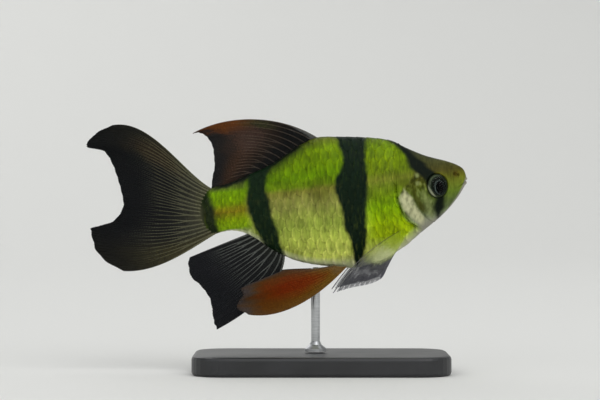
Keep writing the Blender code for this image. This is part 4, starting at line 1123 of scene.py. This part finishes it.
def fin_colours(name, along_stops, across_stops, patches):
    """A node group that gives a fin's colour from its place across and along the rays."""
    tree = bpy.data.node_groups.new(name, "ShaderNodeTree")
    tree.interface.new_socket("Color", in_out="OUTPUT", socket_type="NodeSocketColor")
    on_fin = add(tree, "ShaderNodeAttribute", attribute_name="on_fin").outputs["Vector"]
    spot = add(tree, "ShaderNodeSeparateXYZ", {0: on_fin}).outputs
    blotch = add(tree, "ShaderNodeTexNoise", {"Vector": on_fin, "Scale": 6.0, "Detail": 4.0}).outputs["Fac"]
    shift = add(tree, "ShaderNodeMath", {0: blotch, 1: 0.3, 2: -0.15}, operation="MULTIPLY_ADD").outputs[0]
    along = add(tree, "ShaderNodeMath", {0: spot["Y"], 1: shift}, operation="ADD").outputs[0]
    across = add(tree, "ShaderNodeMath", {0: spot["X"], 1: shift}, operation="ADD").outputs[0]
    colour = add(tree, "ShaderNodeValToRGB", {"Fac": along}, stops=along_stops).outputs[0]
    if across_stops:
        rim = add(tree, "ShaderNodeValToRGB", {"Fac": spot["X"]},
                  stops=[(at, tone) for at, tone, _ in across_stops])
        share = add(tree, "ShaderNodeFloatCurve", {"Value": spot["X"]},
                    curve=[(at, amount) for at, _, amount in across_stops]).outputs[0]
        fading = add(tree, "ShaderNodeMapRange", {"Value": along, "From Min": 0.45, "From Max": 0.95,
                                                  "To Min": 1.0, "To Max": 0.15}).outputs[0]
        share = add(tree, "ShaderNodeMath", {0: share, 1: fading}, operation="MULTIPLY").outputs[0]
        colour = laid_over(tree, colour, rim.outputs[0], share)
    for (a, b), (half_a, half_b), tone, amount in patches:
        centred = add(tree, "ShaderNodeCombineXYZ", {"X": across, "Y": along}).outputs[0]
        centred = add(tree, "ShaderNodeMapping", {
            "Vector": centred, "Location": (-a / half_a, -b / half_b, 0.0),
            "Scale": (1 / half_a, 1 / half_b, 1.0)}).outputs[0]
        away = add(tree, "ShaderNodeVectorMath", {0: centred}, operation="LENGTH").outputs["Value"]
        there = add(tree, "ShaderNodeMapRange", {"Value": away, "From Min": 1.1, "From Max": 0.3,
                                                 "To Max": amount},
                    interpolation_type="SMOOTHSTEP").outputs[0]
        colour = laid_over(tree, colour, linear(tone), there)
    add(tree, "NodeGroupOutput", {"Color": colour})
    return tree


def fin_material(name, colours, alpha, horn=None, horn_share=None):
    """Tinted cast film, or the paler horn of the rays, whose share changes from root to tip: satin,
    and peppered with dark pigment cells a quarter of a millimetre across."""
    made, tree, shader = new_material(name)
    position = add(tree, "ShaderNodeTexCoord").outputs["Object"]
    tint = add(tree, "ShaderNodeGroup", node_tree=colours).outputs["Color"]
    if horn:
        on_fin = add(tree, "ShaderNodeAttribute", attribute_name="on_fin").outputs["Vector"]
        along = add(tree, "ShaderNodeSeparateXYZ", {0: on_fin}).outputs["Y"]
        share = add(tree, "ShaderNodeMapRange",
                    {"Value": along, "To Min": horn_share[0], "To Max": horn_share[1]})
        tint = laid_over(tree, tint, linear(horn), share.outputs[0])
    specks = add(tree, "ShaderNodeTexNoise",
                 {"Vector": position, "Scale": 3600.0, "Detail": 3.0}).outputs["Fac"]
    light = add(tree, "ShaderNodeMapRange", {"Value": specks, "From Min": 0.3, "From Max": 0.7,
                                             "To Min": 0.75, "To Max": 1.25}).outputs[0]
    tint = add(tree, "ShaderNodeVectorMath", {0: tint, "Scale": light}, operation="SCALE").outputs[0]
    bump = add(tree, "ShaderNodeBump", {"Height": specks, "Strength": 0.3, "Distance": 0.00005}).outputs[0]
    feed(tree, shader, {"Base Color": tint, "Normal": bump, "Roughness": 0.4, "Specular IOR Level": 0.04,
                        "Alpha": alpha})
    return made


def in_belly(point):
    """A root that lies deeper in the body than the key, so that the fin grows out of the skin."""
    point = point.copy()
    point[..., 1] += FIN_ROOT_DEPTH
    return point


def on_back(point):
    """A root half a millimetre below the outline of the back."""
    return np.stack([point[..., 0], back(point[..., 0]) - FIN_ROOT_DEPTH, 0 * point[..., 2]], axis=-1)


def on_belly(point):
    """A root half a millimetre above the outline of the belly."""
    return np.stack([point[..., 0], belly(point[..., 0]) + FIN_ROOT_DEPTH, 0 * point[..., 2]], axis=-1)


def behind_stalk(point):
    """A root just inside the rounded end of the tail stalk."""
    t = (point[..., 1] - belly(point[..., 0])) / (back(point[..., 0]) - belly(point[..., 0]))
    s = stalk_end(np.clip(t, 0.03, 0.97)) - 0.6
    return np.stack([s, np.clip(point[..., 1], belly(s) + 0.25, back(s) - 0.25), 0 * point[..., 2]], axis=-1)


def in_flank(point):
    """A root just under the skin of the flank."""
    return np.stack([point[..., 0], point[..., 1], side_at(point[..., 0], point[..., 1]) - 0.3], axis=-1)


# each fin's colours along its rays, across them with the share of that colour, and its patches, as
# (place across and along, half breadths, colour, share)
CAUDAL_TINTS = fin_colours("caudal_tints", [
    (0.0, "#45452f"), (0.16, "#35352a"), (0.38, "#161715"), (0.65, "#0d0f11"), (1.0, "#0b0d0e")],
    [(0.0, "#28271a", 0.8), (0.12, "#262419", 0.45), (0.25, "#202020", 0.1), (0.75, "#202020", 0.1),
     (0.9, "#39351f", 0.6), (1.0, "#3d3924", 0.85)],
    [((0.13, 0.5), (0.15, 0.3), "#42321a", 0.3)])
DORSAL_TINTS = fin_colours("dorsal_tints", [
    (0.0, "#050606"), (0.2, "#080909"), (0.42, "#231912"), (0.7, "#332014"), (0.88, "#1e1b19"),
    (1.0, "#19191a")],
    None,
    [((0.1, 0.52), (0.14, 0.22), "#30321a", 0.7), ((0.08, 0.78), (0.26, 0.27), "#5c3210", 0.9),
     ((0.4, 0.62), (0.3, 0.26), "#40302a", 0.6), ((0.0, 0.1), (0.07, 0.2), "#6a6b68", 0.7)])
ANAL_TINTS = fin_colours("anal_tints", [
    (0.0, "#1d201b"), (0.3, "#151717"), (0.7, "#131417"), (1.0, "#131417")], None,
    [((0.5, 0.9), (0.6, 0.3), "#16171b", 0.5)])
PELVIC_TINTS = fin_colours("pelvic_tints", [
    (0.0, "#66573c"), (0.16, "#60440f"), (0.45, "#5a3703"), (0.8, "#4e2a01"), (0.92, "#44301c"),
    (1.0, "#383230")],
    [(0.0, "#66502c", 0.5), (0.15, "#5a3c0a", 0.3), (0.3, "#5a3410", 0.0), (0.8, "#3a302a", 0.15),
     (1.0, "#4a4440", 0.8)],
    [((0.58, 0.5), (0.4, 0.42), "#641e00", 0.95)])
# the clear pectoral fin is tinted at its root like the green flank and pale belly edge behind it, and made
# lighter than them as painted light that makes up for the shadow the fin casts on them
PECTORAL_TINTS = fin_colours("pectoral_tints", [
    (0.0, "#a8c01a"), (0.5, "#a8ba40"), (0.66, "#45483f"), (1.0, "#1e2024")],
    [(0.0, "#34340f", 0.95), (0.05, "#34340f", 0.2), (0.12, "#34340f", 0.0), (1.0, "#34340f", 0.0)],
    [((0.5, 0.47), (0.6, 0.17), "#e6ecb0", 0.75), ((0.2, 0.85), (0.3, 0.3), "#3c3f42", 0.5)])
# each fin's piece name, nodes, keys, ray count, unforked rays at its two edges, root, waviness,
# notching, colours, opacity, ray radii at root and tip, horn, its share at root and tip, and slot
FINS = [
    ("caudal_fin", ["caudal_fin"], CAUDAL_KEYS, 19, (1, 1), behind_stalk, 0.5, 0.006, CAUDAL_TINTS, 0.93,
     (0.23, 0.045), "#7a7960", (0.45, 0.08), "smoky_fin"),
    ("dorsal_fin", ["dorsal_fin"], DORSAL_KEYS, 12, (4, 1), on_back, 0.3, 0.006, DORSAL_TINTS, 0.93,
     (0.17, 0.055), "#72675c", (0.18, 0.38), "smoky_fin"),
    ("anal_fin", ["anal_fin"], ANAL_KEYS, 10, (2, 1), on_belly, 0.3, 0.006, ANAL_TINTS, 0.93,
     (0.24, 0.05), "#787b76", (0.55, 0.05), "smoky_fin"),
    ("pelvic_fin", ["pelvic_fin_right", "pelvic_fin_left"], PELVIC_KEYS, 9, (1, 0), in_belly, 0.3, 0.012,
     PELVIC_TINTS, 0.95, (0.14, 0.045), "#8a6224", (0.3, 0.1), "orange_fin"),
    ("pectoral_fin", ["pectoral_fin_right", "pectoral_fin_left"], PECTORAL_KEYS, 13, (1, 1), in_flank, 0.3,
     0.05, PECTORAL_TINTS, 0.17, (0.02, 0.062), "#6b6a72", (0.0, 0.8), "clear_fin"),
]
rays_tree = ray_tree()
for (name, nodes, keys, rays, simple, root, wave, notch, tints, alpha, thickness, horn, horn_share,
     slot) in FINS:
    surface = fin_surface(keys, root, wave)
    film = fin_material(name + "_film", tints, alpha)
    bone = fin_material(name + "_ray_horn", tints, 1.0, horn, horn_share)
    for node in nodes:
        y_side = 1 if node.endswith("left") else -1
        web = fin_web(node + "_web", surface, rays, notch, y_side)
        web.data.materials.clear()
        web.data.materials.append(film)
        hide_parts(node)
        bones = fin_rays(node + "_rays", surface, rays, simple, y_side, thickness, rays_tree, bone)
        for piece in (web, bones):
            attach(piece, "root")


# The stand: a flat aluminium plate, sprayed satin black, with one brushed steel rod screwed into
# it that is glued into the belly. Both are the frame's own solids with a finish.
def paint_material():
    """Satin black spray paint: even, with a faint orange peel of 0.4 mm and thin dust marks."""
    made, tree, shader = new_material("satin_black_paint")
    position = add(tree, "ShaderNodeTexCoord").outputs["Object"]
    peel = add(tree, "ShaderNodeTexNoise",
               {"Vector": position, "Scale": 2600.0, "Detail": 2.0}).outputs["Fac"]
    dust = add(tree, "ShaderNodeTexNoise", {"Vector": position, "Scale": 140.0, "Detail": 4.0}).outputs["Fac"]
    tone = add(tree, "ShaderNodeValToRGB", {"Fac": dust},
               stops=[(0.35, "#1d1e20"), (0.7, "#26272a")]).outputs[0]
    rough = add(tree, "ShaderNodeMapRange", {"Value": dust, "To Min": 0.34, "To Max": 0.5}).outputs[0]
    bump = add(tree, "ShaderNodeBump", {"Height": peel, "Strength": 0.12, "Distance": 0.00005}).outputs[0]
    feed(tree, shader, {"Base Color": tone, "Roughness": rough, "Normal": bump})
    return made


def steel_material():
    """Brushed stainless steel: fine rings round the rod from the abrasive, 0.1 mm apart."""
    made, tree, shader = new_material("brushed_steel")
    position = add(tree, "ShaderNodeTexCoord").outputs["Object"]
    stretched = add(tree, "ShaderNodeMapping",
                    {"Vector": position, "Scale": (300.0, 300.0, 9000.0)}).outputs[0]
    brushed = add(tree, "ShaderNodeTexNoise",
                  {"Vector": stretched, "Scale": 1.0, "Detail": 3.0}).outputs["Fac"]
    tone = add(tree, "ShaderNodeValToRGB", {"Fac": brushed},
               stops=[(0.3, "#a5a7a9"), (0.7, "#c6c8ca")]).outputs[0]
    rough = add(tree, "ShaderNodeMapRange", {"Value": brushed, "To Min": 0.22, "To Max": 0.4}).outputs[0]
    bump = add(tree, "ShaderNodeBump", {"Height": brushed, "Strength": 0.15, "Distance": 0.00002}).outputs[0]
    feed(tree, shader, {"Base Color": tone, "Roughness": rough, "Normal": bump, "Metallic": 1.0})
    return made


for node, material in (("stand_base", paint_material()), ("stand_rod", steel_material())):
    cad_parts[node].data.materials.clear()
    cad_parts[node].data.materials.append(material)


# The studio: a wide pale floor whose rim curves up into a wall all round, under large round soft
# lamps above, in front and behind. The camera looks level at the fish's right side from 405 mm.
FLOOR_RADIUS = 0.8
WALL_RADIUS = 1.6
WALL_STEPS = 16
FLOOR_STEPS = 96
LIT_POINT = (0.0, 0.0, 0.025)
VIEW_DISTANCE = 0.405
VIEW_MIDDLE = (0.0042, 0.0310)
LENS = 135.0
SENSOR_WIDTH = 36.0
LAMPS = [
    ("key_light", (0.75, -1.25, 1.35), 1.9, 17.0),
    ("fill_light", (-1.10, -1.20, 0.95), 1.8, 6.0),
    ("top_light", (0.0, 0.10, 1.90), 2.2, 10.0),
    ("rim_light", (-0.60, 1.40, 1.10), 1.6, 7.0),
]

profile = [(0.0, 0.0), (FLOOR_RADIUS, 0.0)]
for k in range(1, WALL_STEPS + 1):
    angle = math.pi / 2 * k / WALL_STEPS
    profile.append((FLOOR_RADIUS + WALL_RADIUS * math.sin(angle), WALL_RADIUS * (1 - math.cos(angle))))
bm = bmesh.new()
verts = [bm.verts.new((r, 0.0, z)) for r, z in profile]
edges = [bm.edges.new(pair) for pair in zip(verts, verts[1:])]
bmesh.ops.spin(bm, geom=verts + edges, cent=(0, 0, 0), axis=(0, 0, 1), angle=2 * math.pi,
                steps=FLOOR_STEPS)
bmesh.ops.remove_doubles(bm, verts=bm.verts, dist=1e-5)
floor_mesh = bpy.data.meshes.new("studio_floor")
bm.to_mesh(floor_mesh)
bm.free()
floor_mesh.shade_smooth()
floor = add_object("studio_floor", floor_mesh)
chalk, tree, shader = new_material("matt_pale_paint")
feed(tree, shader, {"Base Color": linear("#dededb"), "Roughness": 0.9})
floor.data.materials.append(chalk)

for name, spot, size, power in LAMPS:
    lamp = bpy.data.lights.new(name, "AREA")
    lamp.shape = "DISK"
    lamp.size = size
    lamp.energy = power
    light = bpy.data.objects.new(name, lamp)
    light.location = spot
    light.rotation_euler = (Vector(spot) - Vector(LIT_POINT)).to_track_quat("Z", "Y").to_euler()
    scene.collection.objects.link(light)

world = bpy.data.worlds.new("studio_air")
world.use_nodes = True
world.node_tree.nodes["Background"].inputs["Color"].default_value = linear("#eef1f4")
world.node_tree.nodes["Background"].inputs["Strength"].default_value = 0.35
scene.world = world
scene.view_settings.view_transform = "Standard"

camera_data = bpy.data.cameras.new("camera")
camera_data.lens = LENS
camera_data.sensor_width = SENSOR_WIDTH
camera_data.clip_start = 0.01
camera = bpy.data.objects.new("camera", camera_data)
camera.location = (VIEW_MIDDLE[0], -VIEW_DISTANCE, VIEW_MIDDLE[1])
camera.rotation_euler = (math.pi / 2, 0.0, 0.0)
scene.collection.objects.link(camera)
scene.camera = camera
